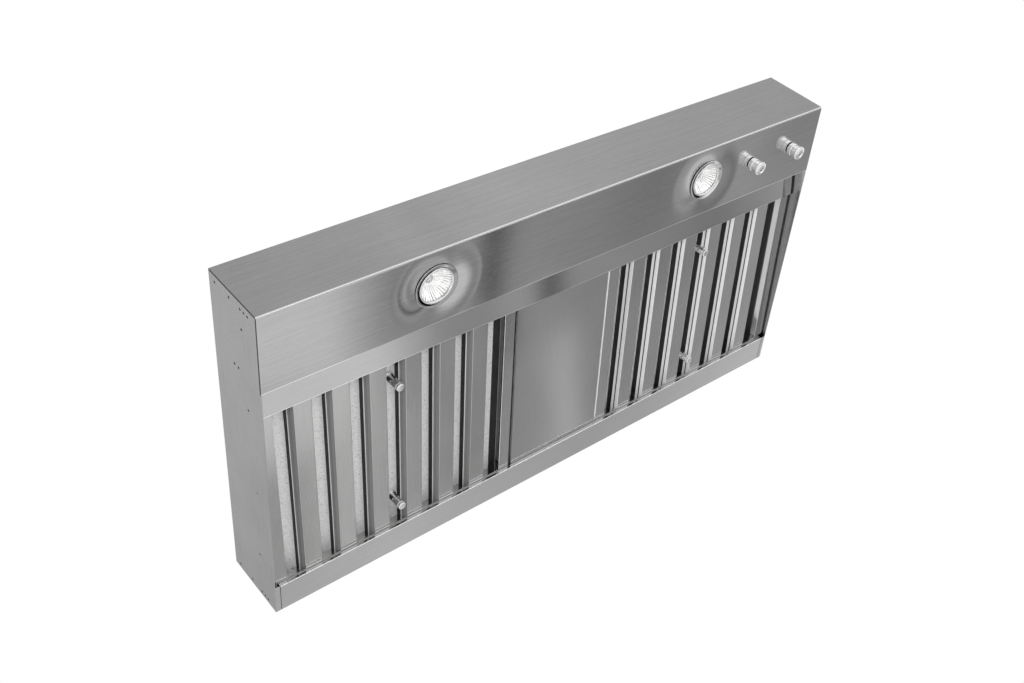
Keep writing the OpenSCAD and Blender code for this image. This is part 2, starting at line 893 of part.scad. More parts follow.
// Side plate of the scroll with its round inlet
module scroll_plate() {
    from_front() difference() {
        translate([scroll_w / 2, 0, 0]) rotate([90, 0, 90]) linear_extrude(scroll_t) polygon(scroll_path);
        rod_x(0, box_w, shaft_y, shaft_z, inlet_r);
    }
}

module scroll_left_plate() {
    color("silver") mirror([1, 0, 0]) scroll_plate();
}

module scroll_right_plate() {
    color("silver") scroll_plate();
}

module at_shaft() {
    from_front() translate([0, shaft_y, shaft_z]) children();
}

// Motor in the left inlet, with a running bore for its shaft
module motor() {
    end = -motor_gap - motor_len;
    color("dimgray") at_shaft() difference() {
        union() {
            rod_x(end + motor_bell, -motor_gap - motor_bell, 0, 0, motor_r);
            rod_x(end, -motor_gap, 0, 0, motor_r - motor_bell);
        }
        rod_x(end + 2 * motor_bell, 0, 0, 0, motor_shaft_r + run_gap);
    }
}

// Clamp ring round the motor with three arms on the scroll's left plate
module motor_bracket() {
    plate_x = -scroll_w / 2 - scroll_t;
    ring_r = motor_r + bracket_ring_t;
    arm_r = inlet_r + bracket_arm;
    color("gray") at_shaft() difference() {
        union() {
            rod_x(plate_x - bracket_arm, plate_x, 0, 0, ring_r);
            for (angle = [0, 120, 240]) rotate([angle, 0, 0])
                translate([plate_x - bracket_t, -bracket_arm / 2, 0])
                    cube([bracket_t, bracket_arm, arm_r]);
        }
        rod_x(plate_x - bracket_arm - 1, plate_x + 1, 0, 0, motor_r + run_gap);
    }
}

module motor_shaft() {
    color("darkgray") at_shaft() rod_x(-motor_gap - motor_len / 2, hub_len, 0, 0, motor_shaft_r);
}

// The wheel's blades, which stand between its two end rings
module blade_cage() {
    blade_w = wheel_w - 2 * wheel_ring_t;
    for (i = [0:blades - 1]) rotate([i * 360 / blades, 0, 0])
        translate([-blade_w / 2, -blade_t / 2, wheel_r - blade_d])
            cube([blade_w, blade_t, blade_d - blade_inset]);
}

module wheel_blades() {
    color("gainsboro") at_shaft() blade_cage();
}

// Disc between the wheel's two inlets, notched for the blades, with its hub
module wheel_centre_plate() {
    color("gainsboro") at_shaft() difference() {
        union() {
            rod_x(-wheel_disc_t / 2, wheel_disc_t / 2, 0, 0, wheel_r - 2 * blade_inset);
            rod_x(0, hub_len, 0, 0, hub_r);
        }
        blade_cage();
        rod_x(-wheel_w, wheel_w, 0, 0, motor_shaft_r + run_gap / 2);
    }
}

module wheel_end_rings() {
    color("gainsboro") at_shaft() for (side = [0, 1]) mirror([side, 0, 0]) difference() {
        rod_x(wheel_w / 2 - wheel_ring_t, wheel_w / 2, 0, 0, wheel_r);
        rod_x(0, wheel_w, 0, 0, wheel_r - blade_d);
    }
}

// Lead from the motor down through the body's top to the wall behind the light panel
module motor_lead() {
    color("black") from_front() {
        rod_x(lead_x, -motor_gap - motor_len, shaft_y, shaft_z, loom_r);
        translate([lead_x, shaft_y, shaft_z]) sphere(r = loom_r);
        rod_z(lead_x, shaft_y, lead_z, shaft_z, loom_r);
        translate([lead_x, shaft_y, lead_z]) sphere(r = loom_r);
        rod_y(lead_x, light_panel_d, shaft_y, lead_z, loom_r);
    }
}

// The duct collar and its damper

module at_collar() {
    from_front() translate([0, collar_y, box_top]) children();
}

module collar_screw_places() {
    for (angle = [45, 135, 225, 315]) translate([0, collar_y, box_top]) rotate([0, 0, angle])
        translate([collar_r + collar_flange_w / 2, 0, 0]) children();
}

// Collar with a base flange and the inner ring that the closed flaps lie on
module duct_collar() {
    inside = collar_r - collar_t;
    ring_top = damper_h - flap_t / 2 - seat_gap;
    profile = [
        [inside, 0], [collar_r + collar_flange_w, 0], [collar_r + collar_flange_w, sheet_t],
        [collar_r, sheet_t], [collar_r, collar_h], [inside, collar_h], [inside, ring_top],
        [inside - stop_ring_w, ring_top], [inside - stop_ring_w, ring_top - stop_ring_t],
        [inside, ring_top - stop_ring_t]
    ];
    color("silver") difference() {
        at_collar() difference() {
            rotate_extrude($fn = 96) polygon(profile);
            rod_x(-collar_r - 1, collar_r + 1, 0, damper_h, pin_r + run_gap);
        }
        from_front() collar_screw_places() rod_z(0, 0, -1, sheet_t + 1, screw_r + screw_gap);
    }
}

module collar_screws() {
    color("gray") from_front() collar_screw_places() translate([0, 0, sheet_t]) pan_screw();
}

module damper_pin() {
    reach = collar_r - collar_t / 4;
    color("darkgray") at_collar() rod_x(-reach, reach, 0, damper_h, pin_r);
}

// Half-round flap behind the pin, with two knuckles that share the pin with the other flap's
module damper_flap() {
    clear_y = knuckle_r + knuckle_gap;
    flap_half_t = flap_t / 2;
    difference() {
        union() {
            intersection() {
                translate([0, 0, -flap_half_t]) cylinder(r = flap_r, h = flap_t, $fn = 96);
                translate([-flap_r, clear_y, -flap_t]) cube([2 * flap_r, flap_r, 2 * flap_t]);
            }
            for (x = [-2 * knuckle_pitch, (knuckle_pitch - knuckle_len) / 2]) {
                rod_x(x, x + knuckle_len, 0, 0, knuckle_r);
                translate([x, 0, -flap_half_t]) cube([knuckle_len, clear_y + 1, flap_t]);
            }
        }
        rod_x(-flap_r, flap_r, 0, 0, pin_r + run_gap);
    }
}

module rear_damper_flap() {
    color("lightgray") at_collar() translate([0, 0, damper_h]) damper_flap();
}

module front_damper_flap() {
    color("lightgray") at_collar() translate([0, 0, damper_h]) rotate([0, 0, 180]) damper_flap();
}

front_panel();
left_end_panel();
right_end_panel();
rear_panel();
top_panel();
filter_ledge();
rear_stop_rail();
rear_corner_brackets();
centre_spacer();
left_lamp_trim();
left_lamp_glass();
left_lamp_reflector();
left_lamp_bulb();
left_lamp_socket();
left_lamp_springs();
right_lamp_trim();
right_lamp_glass();
right_lamp_reflector();
right_lamp_bulb();
right_lamp_socket();
right_lamp_springs();
fan_speed_control();
light_dimmer_control();
control_lock_nuts();
lamp_transformer();
junction_box();
junction_box_cover();
terminal_block();
wiring_loom();
blower_box();
scroll_band();
scroll_left_plate();
scroll_right_plate();
motor();
motor_bracket();
motor_lead();
blower_box_screws();
duct_collar();
collar_screws();
damper_pin();
left_filter_frame();
left_filter_front_baffles();
left_filter_rear_baffles();
left_filter_handles();
left_filter_handle_screws();
right_filter_frame();
right_filter_front_baffles();
right_filter_rear_baffles();
right_filter_handles();
right_filter_handle_screws();
fan_speed_knob();
fan_speed_shaft();
light_dimmer_knob();
light_dimmer_shaft();
wheel_centre_plate();
wheel_blades();
wheel_end_rings();
motor_shaft();
front_damper_flap();
rear_damper_flap();
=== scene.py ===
"""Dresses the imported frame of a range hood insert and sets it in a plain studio."""

import logging
import math
from dataclasses import dataclass, field
from enum import Enum
from typing import Any, Callable, ClassVar, Mapping, Optional, Sequence, Union

import bmesh
import bpy
from mathutils import Matrix, Quaternion, Vector


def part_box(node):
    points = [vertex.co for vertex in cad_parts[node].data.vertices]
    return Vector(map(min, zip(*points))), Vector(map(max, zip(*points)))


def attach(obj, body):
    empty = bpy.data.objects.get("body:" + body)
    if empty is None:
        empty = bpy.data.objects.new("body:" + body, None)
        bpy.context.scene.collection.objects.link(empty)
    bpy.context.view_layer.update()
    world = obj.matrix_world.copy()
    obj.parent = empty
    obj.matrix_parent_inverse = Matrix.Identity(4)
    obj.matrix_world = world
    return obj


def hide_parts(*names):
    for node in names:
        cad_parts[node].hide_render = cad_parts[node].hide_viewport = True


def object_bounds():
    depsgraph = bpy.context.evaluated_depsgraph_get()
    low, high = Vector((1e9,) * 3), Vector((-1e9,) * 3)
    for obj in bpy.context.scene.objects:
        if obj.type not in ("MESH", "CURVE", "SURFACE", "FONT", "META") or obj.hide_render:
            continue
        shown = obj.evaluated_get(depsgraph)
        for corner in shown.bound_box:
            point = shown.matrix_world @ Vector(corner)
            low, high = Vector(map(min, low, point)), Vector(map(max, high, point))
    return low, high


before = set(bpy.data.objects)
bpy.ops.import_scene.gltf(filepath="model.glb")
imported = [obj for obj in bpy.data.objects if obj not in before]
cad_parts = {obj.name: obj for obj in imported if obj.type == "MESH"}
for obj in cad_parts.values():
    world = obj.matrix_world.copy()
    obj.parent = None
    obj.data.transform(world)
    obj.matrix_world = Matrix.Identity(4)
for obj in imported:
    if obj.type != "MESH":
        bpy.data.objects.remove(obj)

LOG = logging.getLogger("hood")
CAD_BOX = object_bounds()
MM = 0.001
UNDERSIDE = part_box("front_panel")[0].z / MM
FILTER_TILT = math.radians(2.7465)
DIAGONALS = (45, 135, 225, 315)
# Grey levels of painted shade lines, along cut ends and folds, and of painted highlight lines, along
# hems, folds and rims.
PAINTED_SHADE = 0.05
CAUGHT_LIGHT = 0.95

Colour = tuple[float, float, float]
Point = tuple[float, float]
Place = tuple[float, float, float]
Stops = Sequence[Point]


def operator(operation: str, flipped: bool = False) -> Callable[["Term", "Value"], "Term"]:
    """An operator of Term, which adds one Math node.

    Args:
        operation: The node's operation.
        flipped: Whether the other value comes first.

    Returns:
        The operator's method.
    """

    def method(term: "Term", other: "Value") -> "Term":
        """The operation on this value and another."""
        return term.graph.math(operation, *((other, term) if flipped else (term, other)))

    return method


@dataclass
class Term:
    """One output of a shader node, with arithmetic that adds Math nodes."""

    graph: "Graph"
    socket: bpy.types.NodeSocket

    __add__ = operator("ADD")
    __radd__ = operator("ADD", True)
    __sub__ = operator("SUBTRACT")
    __rsub__ = operator("SUBTRACT", True)
    __mul__ = operator("MULTIPLY")
    __rmul__ = operator("MULTIPLY", True)
    __truediv__ = operator("DIVIDE")
    __rtruediv__ = operator("DIVIDE", True)
    most = operator("MAXIMUM")

    def sibling(self, name: str) -> "Term":
        """Another output of the same node."""
        return Term(self.graph, self.socket.node.outputs[name])


Value = Union[float, Term]


class Graph:
    """A node tree being wired."""

    def __init__(self, tree: bpy.types.NodeTree) -> None:
        """Starts from an empty tree."""
        self.tree = tree
        tree.nodes.clear()

    def node(
        self,
        kind: str,
        settings: Optional[Mapping[str, Any]] = None,
        sockets: Optional[Mapping[Union[int, str], Any]] = None,
        out: Union[int, str] = 0,
    ) -> Term:
        """Adds a node of any kind.

        Args:
            kind: The node's type name.
            settings: The node's own settings, with a ramp's stops under "stops".
            sockets: A value or a Term for each input, by name or number.
            out: The output to return.

        Returns:
            The chosen output.
        """
        node = self.tree.nodes.new(kind)
        for name, value in (settings or {}).items():
            if name == "stops":
                self._stops(node.color_ramp, value)
            else:
                setattr(node, name, value)
        for key, value in (sockets or {}).items():
            if isinstance(value, Term):
                self.tree.links.new(value.socket, node.inputs[key])
            else:
                node.inputs[key].default_value = value
        return Term(self, node.outputs[out] if node.outputs else node.inputs[0])

    @staticmethod
    def _stops(ramp: bpy.types.ColorRamp, stops: Stops) -> None:
        """Sets a ramp's stops, each a position and a grey level."""
        while len(ramp.elements) < len(stops):
            ramp.elements.new(1.0)
        for element, (position, level) in zip(ramp.elements, stops):
            element.position = position
            element.color = (level, level, level, 1.0)

    def math(self, operation: str, *values: Value) -> Term:
        """One Math node on up to three values."""
        return self.node("ShaderNodeMath", {"operation": operation}, dict(enumerate(values)))

    def vector(self, operation: str, a: Any, b: Any = (0.0, 0.0, 0.0)) -> Term:
        """The number that one Vector Math node gives."""
        return self.node("ShaderNodeVectorMath", {"operation": operation}, {0: a, 1: b}, "Value")

    def where(self, kind: str = "Object") -> Term:
        """Coordinates of the surface."""
        return self.node("ShaderNodeTexCoord", out=kind)

    def place(self, stretch: Place = (1.0, 1.0, 1.0)) -> Term:
        """Object coordinates, stretched along each axis."""
        return self.node("ShaderNodeMapping", {}, {"Vector": self.where(), "Scale": stretch})

    def split(self, vector: Term, axis: str) -> Term:
        """One axis of a vector."""
        return self.node("ShaderNodeSeparateXYZ", {}, {"Vector": vector}, axis)

    def along(self, axis: str) -> Term:
        """One axis of the object coordinates, in metres."""
        return self.split(self.where(), axis)

    def steep(self) -> Term:
        """How far the surface faces sideways, from 0 to 1."""
        return self.math("ABSOLUTE", self.split(self.where("Normal"), "X"))

    def away(self, spot: Point) -> Term:
        """Distance across from an upright axis."""
        return self.vector("DISTANCE", self.place((1.0, 1.0, 0.0)), (*spot, 0.0))

    def between(self, value: Term, low: float, high: float) -> Term:
        """1 where a value lies between two bounds, else 0."""
        return self.math("COMPARE", value, (low + high) / 2, (high - low) / 2)

    def held(self, value: Value) -> Term:
        """A value kept from 0 to 1."""
        return self.node("ShaderNodeClamp", {}, {"Value": value})

    def direct(self) -> Term:
        """1 on rays from the camera, from a reflection and through glass, else 0."""
        seen = self.node("ShaderNodeLightPath", out="Is Camera Ray")
        return seen.most(seen.sibling("Is Glossy Ray")).most(seen.sibling("Is Transmission Ray"))

    def noise(self, where: Term, scale: float, detail: float = 2.0, distortion: float = 0.0) -> Term:
        """Smooth noise from 0 to 1."""
        sockets = {"Vector": where, "Scale": scale, "Detail": detail, "Distortion": distortion}
        return self.node("ShaderNodeTexNoise", {}, sockets)

    def ramp(self, value: Term, stops: Stops) -> Term:
        """Grey level of a value along a ramp."""
        return self.node("ShaderNodeValToRGB", {"stops": stops}, {"Fac": value})

    def mix(self, factor: Value, low: Any, high: Any) -> Term:
        """Colour between low and high."""
        sockets = {0: factor, 6: rgba(low), 7: rgba(high)}
        return self.node("ShaderNodeMix", {"data_type": "RGBA"}, sockets, out=2)

    def paint(self, colour: Term, mask: Term, level: float) -> Term:
        """The colour, turned to a grey level where a mask is 1."""
        return self.mix(mask, colour, (level,) * 3)

    def shade(self, colour: Colour, factor: Value, spread: float) -> Term:
        """A colour made darker and lighter by a factor from 0 to 1."""
        dark = tuple(c * (1 - spread) for c in colour)
        light = tuple(min(1.0, c * (1 + spread)) for c in colour)
        return self.mix(factor, dark, light)

    def bump(self, height: Term, strength: float, distance: float, under: Optional[Term] = None) -> Term:
        """Surface normal from a height, on top of another normal where one is given."""
        sockets = {"Height": height, "Strength": strength, "Distance": distance}
        if under is not None:
            sockets["Normal"] = under
        return self.node("ShaderNodeBump", {}, sockets)

    def principled(self, **sockets: Any) -> Term:
        """A Principled shader with the given sockets, named with underscores for spaces."""
        named = {key.replace("_", " "): value for key, value in sockets.items()}
        return self.node("ShaderNodeBsdfPrincipled", {}, named)

    def finish(self, shader: Term, output: str = "ShaderNodeOutputMaterial") -> None:
        """Links a shader to the tree's output."""
        self.node(output, {}, {"Surface": shader})


def rgba(colour: Any) -> Any:
    """A colour with its alpha, or a Term as it is."""
    return colour if isinstance(colour, Term) else (*colour, 1.0)


def shaded(name: str, shader: Callable[[Graph], Term]) -> bpy.types.Material:
    """A material, made once.

    Args:
        name: The material's name.
        shader: Wires its shader.

    Returns:
        The material, new or as it was found.
    """
    found = bpy.data.materials.get(name)
    if found is not None:
        return found
    made = bpy.data.materials.new(name)
    made.use_nodes = True
    graph = Graph(made.node_tree)
    graph.finish(shader(graph))
    return made


class Grain(Enum):
    """The way that a sheet's drawn lines run."""

    ACROSS = (0, 1, 1)
    BACK = (1, 0, 1)

    def stretch(self, along: float, over: float) -> Place:
        """Noise scale along the lines and over them."""
        return tuple(over if turns else along for turns in self.value)


@dataclass(frozen=True)
class Finish:
    """A surface finish with its own material."""

    name: str
    colour: Colour = (0.5, 0.5, 0.5)
    roughness: float = 0.3

    def material(self) -> bpy.types.Material:
        """The material of this finish, made once."""
        made = shaded(self.name, self.shader)
        made.diffuse_color = rgba(self.colour)
        return made

    def shader(self, graph: Graph) -> Term:
        """The finish's shader."""
        raise NotImplementedError


@dataclass(frozen=True)
class Brushed(Finish):
    """Sheet steel with drawn lines, a soft cloudiness and the sheet's own slow waves."""

    grain: Grain = Grain.ACROSS
    line: float = 0.35
    streak: float = 0.10
    cloud: float = 0.05
    wave: float = 0.0
    line_scale: ClassVar[Point] = (14, 520)
    hair_scale: ClassVar[Point] = (90, 2600)

    def shader(self, graph: Graph) -> Term:
        """Steel whose lines blur reflections across the grain."""
        lines = graph.noise(graph.place(self.grain.stretch(*self.line_scale)), 1.0, 3.0)
        hairs = graph.noise(graph.place(self.grain.stretch(*self.hair_scale)), 1.0)
        clouds = graph.noise(graph.place(), 11.0, 3.0)
        tone = (lines - 0.5) * 1.1 + (hairs - 0.5) * 1.5
        clouded = (clouds - 0.5) * (self.cloud / self.streak * 2)
        drawn = graph.bump(lines, self.line, 0.012 * MM, self.form(graph))
        return graph.principled(
            Base_Color=self.marked(graph, graph.shade(self.colour, 0.5 + tone + clouded, self.streak)),
            Metallic=self.metal(graph),
            Roughness=self.roughness + (hairs - 0.5) * 0.08 + (clouds - 0.5) * 0.04,
            Normal=graph.bump(hairs, self.line, 0.02 * MM, drawn),
        )

    def metal(self, graph: Graph) -> Value:
        """How far the sheet is bare metal."""
        return 1.0

    def marked(self, graph: Graph, colour: Term) -> Term:
        """The colour, with painted shade and highlights along edges and folds where a finish adds them.
        """
        return colour

    def form(self, graph: Graph) -> Term:
        """The sheet's own slow waves."""
        return graph.bump(graph.noise(graph.place(), 3.1, 1.0), 1.0, self.wave * MM)


@dataclass(frozen=True)
class Dished(Brushed):
    """Brushed sheet that the punch has drawn in a little round its lamp holes."""

    spots: tuple[Point, ...] = ()
    hole_r: float = 0.028
    reach: float = 0.068
    depth: float = 4.2
    # Bands across X on each end that get painted shade, and the band along the rear hem that gets a
    # painted highlight.
    ends: Point = (0.46165, 0.47165)
    hem: Point = (-0.1356, -0.1342)

    def form(self, graph: Graph) -> Term:
        """The sheet's waves with a shallow dish round each hole."""
        shape = super().form(graph)
        for spot in self.spots:
            near = graph.held((self.reach - graph.away(spot)) / (self.reach - self.hole_r))
            shape = graph.bump(near * near * -1.0, 1.0, self.depth * MM, shape)
        return shape

    def marked(self, graph: Graph, colour: Term) -> Term:
        """Painted shade on the sheet's cut ends and a painted highlight along the hem at its rear edge.
        """
        colour = graph.paint(colour, graph.between(graph.along("Y"), *self.hem), CAUGHT_LIGHT)
        wide = graph.math("ABSOLUTE", graph.along("X"))
        return graph.paint(colour, graph.between(wide, *self.ends), PAINTED_SHADE)


@dataclass(frozen=True)
class Rubbed(Brushed):
    """Brushed sheet whose upright sides are less like a mirror and carry a painted tone for the light
    that falls on them.
    """

    # side: grey level of the painted light and shade on the upright sides.
    side: float = 0.95
    rubbed: float = 0.75
    lean: float = field(default=0.0, kw_only=True)
    # bands: painted shade across X, each given as low, high and grey level.
    bands: tuple[Place, ...] = field(default=(), kw_only=True)
    outer: Point = field(default=(0.4590, 0.4610), kw_only=True)

    def form(self, graph: Graph) -> Term:
        """The sheet's waves, with the sides leaning down a little."""
        shape = super().form(graph)
        if self.lean == 0:
            return shape
        return graph.bump(self.upright(graph) * graph.along("Z"), 1.0, self.lean, shape)

    def marked(self, graph: Graph, colour: Term) -> Term:
        """A painted tone on the sides for the light that falls on them, but not beside the end panel, and
        bands of painted shade across X along the rails.
        """
        across = graph.along("X")
        for low, high, tone in self.bands:
            colour = graph.paint(colour, graph.between(across, low, high), tone)
        clear = 1.0 - graph.between(across, *self.outer)
        return graph.paint(colour, self.upright(graph) * clear, self.side)

    def metal(self, graph: Graph) -> Value:
        """Less mirror on the sides."""
        return 1.0 - self.upright(graph) * self.rubbed

    def upright(self, graph: Graph) -> Term:
        """1 on faces that stand upright and look sideways, else 0."""
        return graph.held(graph.steep() * 4.0 - 2.0)


@dataclass(frozen=True)
class Pressed(Rubbed):
    """Rubbed sheet folded into trays, with painted shade along each right hand fold and side crease and a
    painted highlight on each rim.
    """

    # The crease tone is the grey level of the painted shade along each side crease; the fold, crease and
    # rim bands place painted shade and a painted highlight.
    crease_tone: float = 0.05
    middle_x: float = 0.0
    pitch: float = 0.052
    fold: Point = (0.0113, 0.0124)
    seat: float = -0.0895
    crease: Point = (0.0058, 0.0074)
    rim: Point = (0.0098, 0.0110)

    def marked(self, graph: Graph, colour: Term) -> Term:
        """Painted shade along each right hand fold and side crease, and a painted highlight on each rim.
        """
        across = graph.math("WRAP", graph.along("X") - self.middle_x, self.pitch / 2, -self.pitch / 2)
        colour = super().marked(graph, graph.paint(colour, graph.between(across, *self.fold), PAINTED_SHADE))
        up = (0.0, math.sin(FILTER_TILT), math.cos(FILTER_TILT))
        rise = graph.vector("DOT_PRODUCT", graph.where(), up) - self.seat
        colour = graph.paint(colour, graph.between(rise, *self.rim), CAUGHT_LIGHT)
        return graph.paint(colour, graph.between(rise, *self.crease), self.crease_tone)


@dataclass(frozen=True)
class Hemmed(Brushed):
    """Brushed sheet with painted highlights along its front and rear folds, painted shade and light in
    bands across it, and painted shade with a painted highlight on its hems.
    """

    folds: tuple[Point, ...] = ()
    # Bands of painted shade and light across X, each given as low, high and grey level; the fold and hem
    # tones are a painted highlight and painted shade.
    shadow: tuple[Place, ...] = ()
    hems: tuple[Point, ...] = ()
    hem_z: Point = (-0.1140, -0.1040)
    fold_tone: float = 0.97
    hem_tone: float = 0.40

    def marked(self, graph: Graph, colour: Term) -> Term:
        """Painted highlights on the folds across the sheet, painted shade and light in bands across X
        beside the end panel, and on each hem painted shade with a painted highlight along its lowest
        part.
        """
        back, across = graph.along("Y"), graph.along("X")
        for fold in self.folds:
            colour = graph.paint(colour, graph.between(back, *fold), self.fold_tone)
        for low, high, tone in self.shadow:
            colour = graph.paint(colour, graph.between(across, low, high), tone)
        for hem in self.hems:
            colour = graph.paint(colour, graph.between(back, *hem), self.hem_tone)
            colour = graph.paint(colour, self.edge(graph, hem), CAUGHT_LIGHT)
        return colour

    def metal(self, graph: Graph) -> Value:
        """Less mirror along the hems' edges."""
        rubbed: Value = 0.0
        for hem in self.hems:
            rubbed = rubbed + self.edge(graph, hem) * 0.9
        return 1.0 - rubbed

    def edge(self, graph: Graph, hem: Point) -> Term:
        """1 along the lowest part of a hem's face, else 0."""
        return graph.between(graph.along("Y"), *hem) * graph.between(graph.along("Z"), *self.hem_z)


@dataclass(frozen=True)
class Crinkled(Finish):
    """Thin bright sheet that the press has left finely rippled, with painted shade in the ripple's
    furrows and dark painted shade on its flanges.
    """

    depth: float = 0.35
    # Colours of the painted shade on the flanges and of the painted shade in the ripple's furrows.
    shadow: Colour = (0.09, 0.09, 0.09)
    furrow: Colour = (0.42, 0.42, 0.42)
    matt: float = 0.82

    def shader(self, graph: Graph) -> Term:
        """Bright steel with a tight ripple that sparkles."""
        ripple = graph.noise(graph.place((330.0, 620.0, 330.0)), 1.0, 3.0, 0.9)
        creases = graph.noise(graph.place((600.0, 1400.0, 600.0)), 1.0, 2.0, 0.5)
        fold = graph.held((ripple - 0.5) * 3.0 + (creases - 0.5) * 3.0 + 1.05)
        # The flanges get dark painted shade.
        flange = graph.held(graph.steep() * 3.0 - 1.2)
        bright = graph.mix(fold, self.furrow, self.colour)
        return graph.principled(
            Base_Color=graph.mix(flange, bright, graph.shade(self.shadow, creases, 0.3)),
            Metallic=1.0 - (1.0 - flange) * self.matt,
            Roughness=self.roughness + (creases - 0.5) * 0.12,
            Normal=graph.bump(creases, self.depth, 0.2 * MM, graph.bump(ripple, self.depth, 0.5 * MM)),
        )


@dataclass(frozen=True)
class Galvanised(Finish):
    """Zinc coated sheet with a soft spangle."""

    spangle: float = 55.0

    def shader(self, graph: Graph) -> Term:
        """Zinc whose crystals differ in tone and gloss."""
        warp = graph.noise(graph.place(), 30.0)
        large = self.crystals(graph, self.spangle, "Red")
        small = self.crystals(graph, self.spangle * 2.3, "Green")
        crystal = large * 0.65 + small * 0.35
        dust = graph.noise(graph.place(), 420.0)
        return graph.principled(
            Base_Color=graph.shade(self.colour, crystal * 0.8 + warp * 0.3, 0.16), Metallic=1.0,
            Roughness=self.roughness + (crystal - 0.5) * 0.16 + (warp - 0.5) * 0.08,
            Normal=graph.bump(crystal * 0.7 + dust * 0.3, 0.25, 0.05 * MM),
        )

    def crystals(self, graph: Graph, scale: float, channel: str) -> Term:
        """A level of its own for each crystal."""
        sockets = {"Vector": graph.place(), "Scale": scale}
        spot = graph.node("ShaderNodeTexVoronoi", {}, sockets, "Color")
        return graph.node("ShaderNodeSeparateColor", {}, {"Color": spot}, channel)


@dataclass(frozen=True)
class Polished(Finish):
    """Plated or turned metal with hair scratches and a trace of handling."""

    smear: float = 0.05

    def shader(self, graph: Graph) -> Term:
        """Bright metal with a gloss that varies a little."""
        smears = graph.noise(graph.place(), 90.0, 3.0, 0.4)
        hairs = graph.noise(graph.place((2600.0, 2600.0, 300.0)), 1.0)
        return graph.principled(
            Base_Color=self.toned(graph, graph.shade(self.colour, smears, 0.05)), Metallic=1.0,
            Roughness=self.roughness + (smears - 0.5) * self.smear + (hairs - 0.5) * 0.05,
            Normal=graph.bump(hairs, 0.15, 0.01 * MM),
        )

    def toned(self, graph: Graph, colour: Term) -> Term:
        """The colour with any painted seam shadow on it."""
        return colour


@dataclass(frozen=True)
class Ringed(Polished):
    """Plated ring with a painted shadow in the seam between its funnel and the ring that holds the glass,
    and painted light and shade on its outer ring that differ from side to side.
    """

    spots: tuple[Point, ...] = ()
    seam: Point = (0.02522, 0.0282)
    rim_r: float = 0.04
    # Painted light and shade: near gives the outer ring's and the seam shadow's grey levels on the low X
    # side of each lamp, far gives one grey level for both on the high X side, one for each lamp.
    near: Point = (0.50, 0.01)
    far: tuple[float, ...] = (0.42, 0.96)

    def toned(self, graph: Graph, colour: Term) -> Term:
        """The plating with a painted shadow in its seam, darkest on the side that the light comes from,
        and its outer ring painted a tone of its own on each side.
        """
        for spot, far in zip(self.spots, self.far):
            away = graph.away(spot)
            share = graph.held((graph.along("X") - spot[0]) * 60.0 + 0.6)
            outer, seam = (graph.mix(share, (near,) * 3, (far,) * 3) for near in self.near)
            colour = graph.mix(graph.between(away, self.seam[1], self.rim_r), colour, outer)
            colour = graph.mix(graph.between(away, *self.seam), colour, seam)
        return colour


@dataclass(frozen=True)
class Worn(Finish):
    """Plain metal that heat, age or plating has left uneven."""

    other: Colour = (0.4, 0.4, 0.4)
    scale: float = 140.0

    def shader(self, graph: Graph) -> Term:
        """Metal between two tones."""
        patches = graph.noise(graph.place(), self.scale, 3.0, 0.3)
        specks = graph.noise(graph.place(), self.scale * 9)
        return graph.principled(
            Base_Color=graph.mix(patches * 1.6 - 0.3, self.colour, self.other), Metallic=1.0,
            Roughness=self.roughness + (patches - 0.5) * 0.2 + (specks - 0.5) * 0.08,
            Normal=graph.bump(specks, 0.3, 0.03 * MM),
        )


@dataclass(frozen=True)
class Moulded(Finish):
    """Moulded plastic, fired ceramic or enamel: a body colour, fine grain and slow mottle."""

    grain: float = 1500.0
    depth: float = 0.25
    spread: float = 0.08
    gloss: float = 0.4

    def shader(self, graph: Graph) -> Term:
        """Non-metal with a grain of its own."""
        mottle = graph.noise(graph.place(), 70.0, 3.0)
        grit = graph.noise(graph.place(), self.grain)
        return graph.principled(
            Base_Color=graph.shade(self.colour, mottle * 0.7 + grit * 0.3, self.spread),
            Roughness=self.roughness + (grit - 0.5) * 0.12 + (mottle - 0.5) * 0.06,
            Normal=graph.bump(grit, self.depth, 0.03 * MM), Specular_IOR_Level=self.gloss,
        )


@dataclass(frozen=True)
class Sleeved(Finish):
    """Cable in a braided sleeve."""

    pitch: float = 70.0

    def shader(self, graph: Graph) -> Term:
        """Dark sleeve with crossing strands."""
        bands = {"wave_type": "BANDS", "bands_direction": "DIAGONAL"}
        left, right = (
            graph.node(
                "ShaderNodeTexWave", bands,
                {"Vector": graph.place(turned), "Scale": self.pitch, "Distortion": 0.3},
            )
            for turned in ((1.0, 1.0, 1.0), (1.0, -1.0, -1.0))
        )
        braid = left.most(right)
        return graph.principled(
            Base_Color=graph.shade(self.colour, braid, 0.35), Roughness=self.roughness + braid * 0.15,
            Normal=graph.bump(braid, 0.5, 0.12 * MM),
        )


@dataclass(frozen=True)
class Clear(Finish):
    """Clear glass, thin enough to let light straight through, with a faint haze."""

    body: float = 0.12

    def shader(self, graph: Graph) -> Term:
        """Mostly transparent gloss."""
        haze = graph.noise(graph.place(), 160.0)
        return graph.principled(
            Base_Color=rgba(self.colour), Roughness=self.roughness + haze * 0.03,
            Alpha=self.body + (haze - 0.5) * 0.04, IOR=1.47, Specular_IOR_Level=0.8,
        )


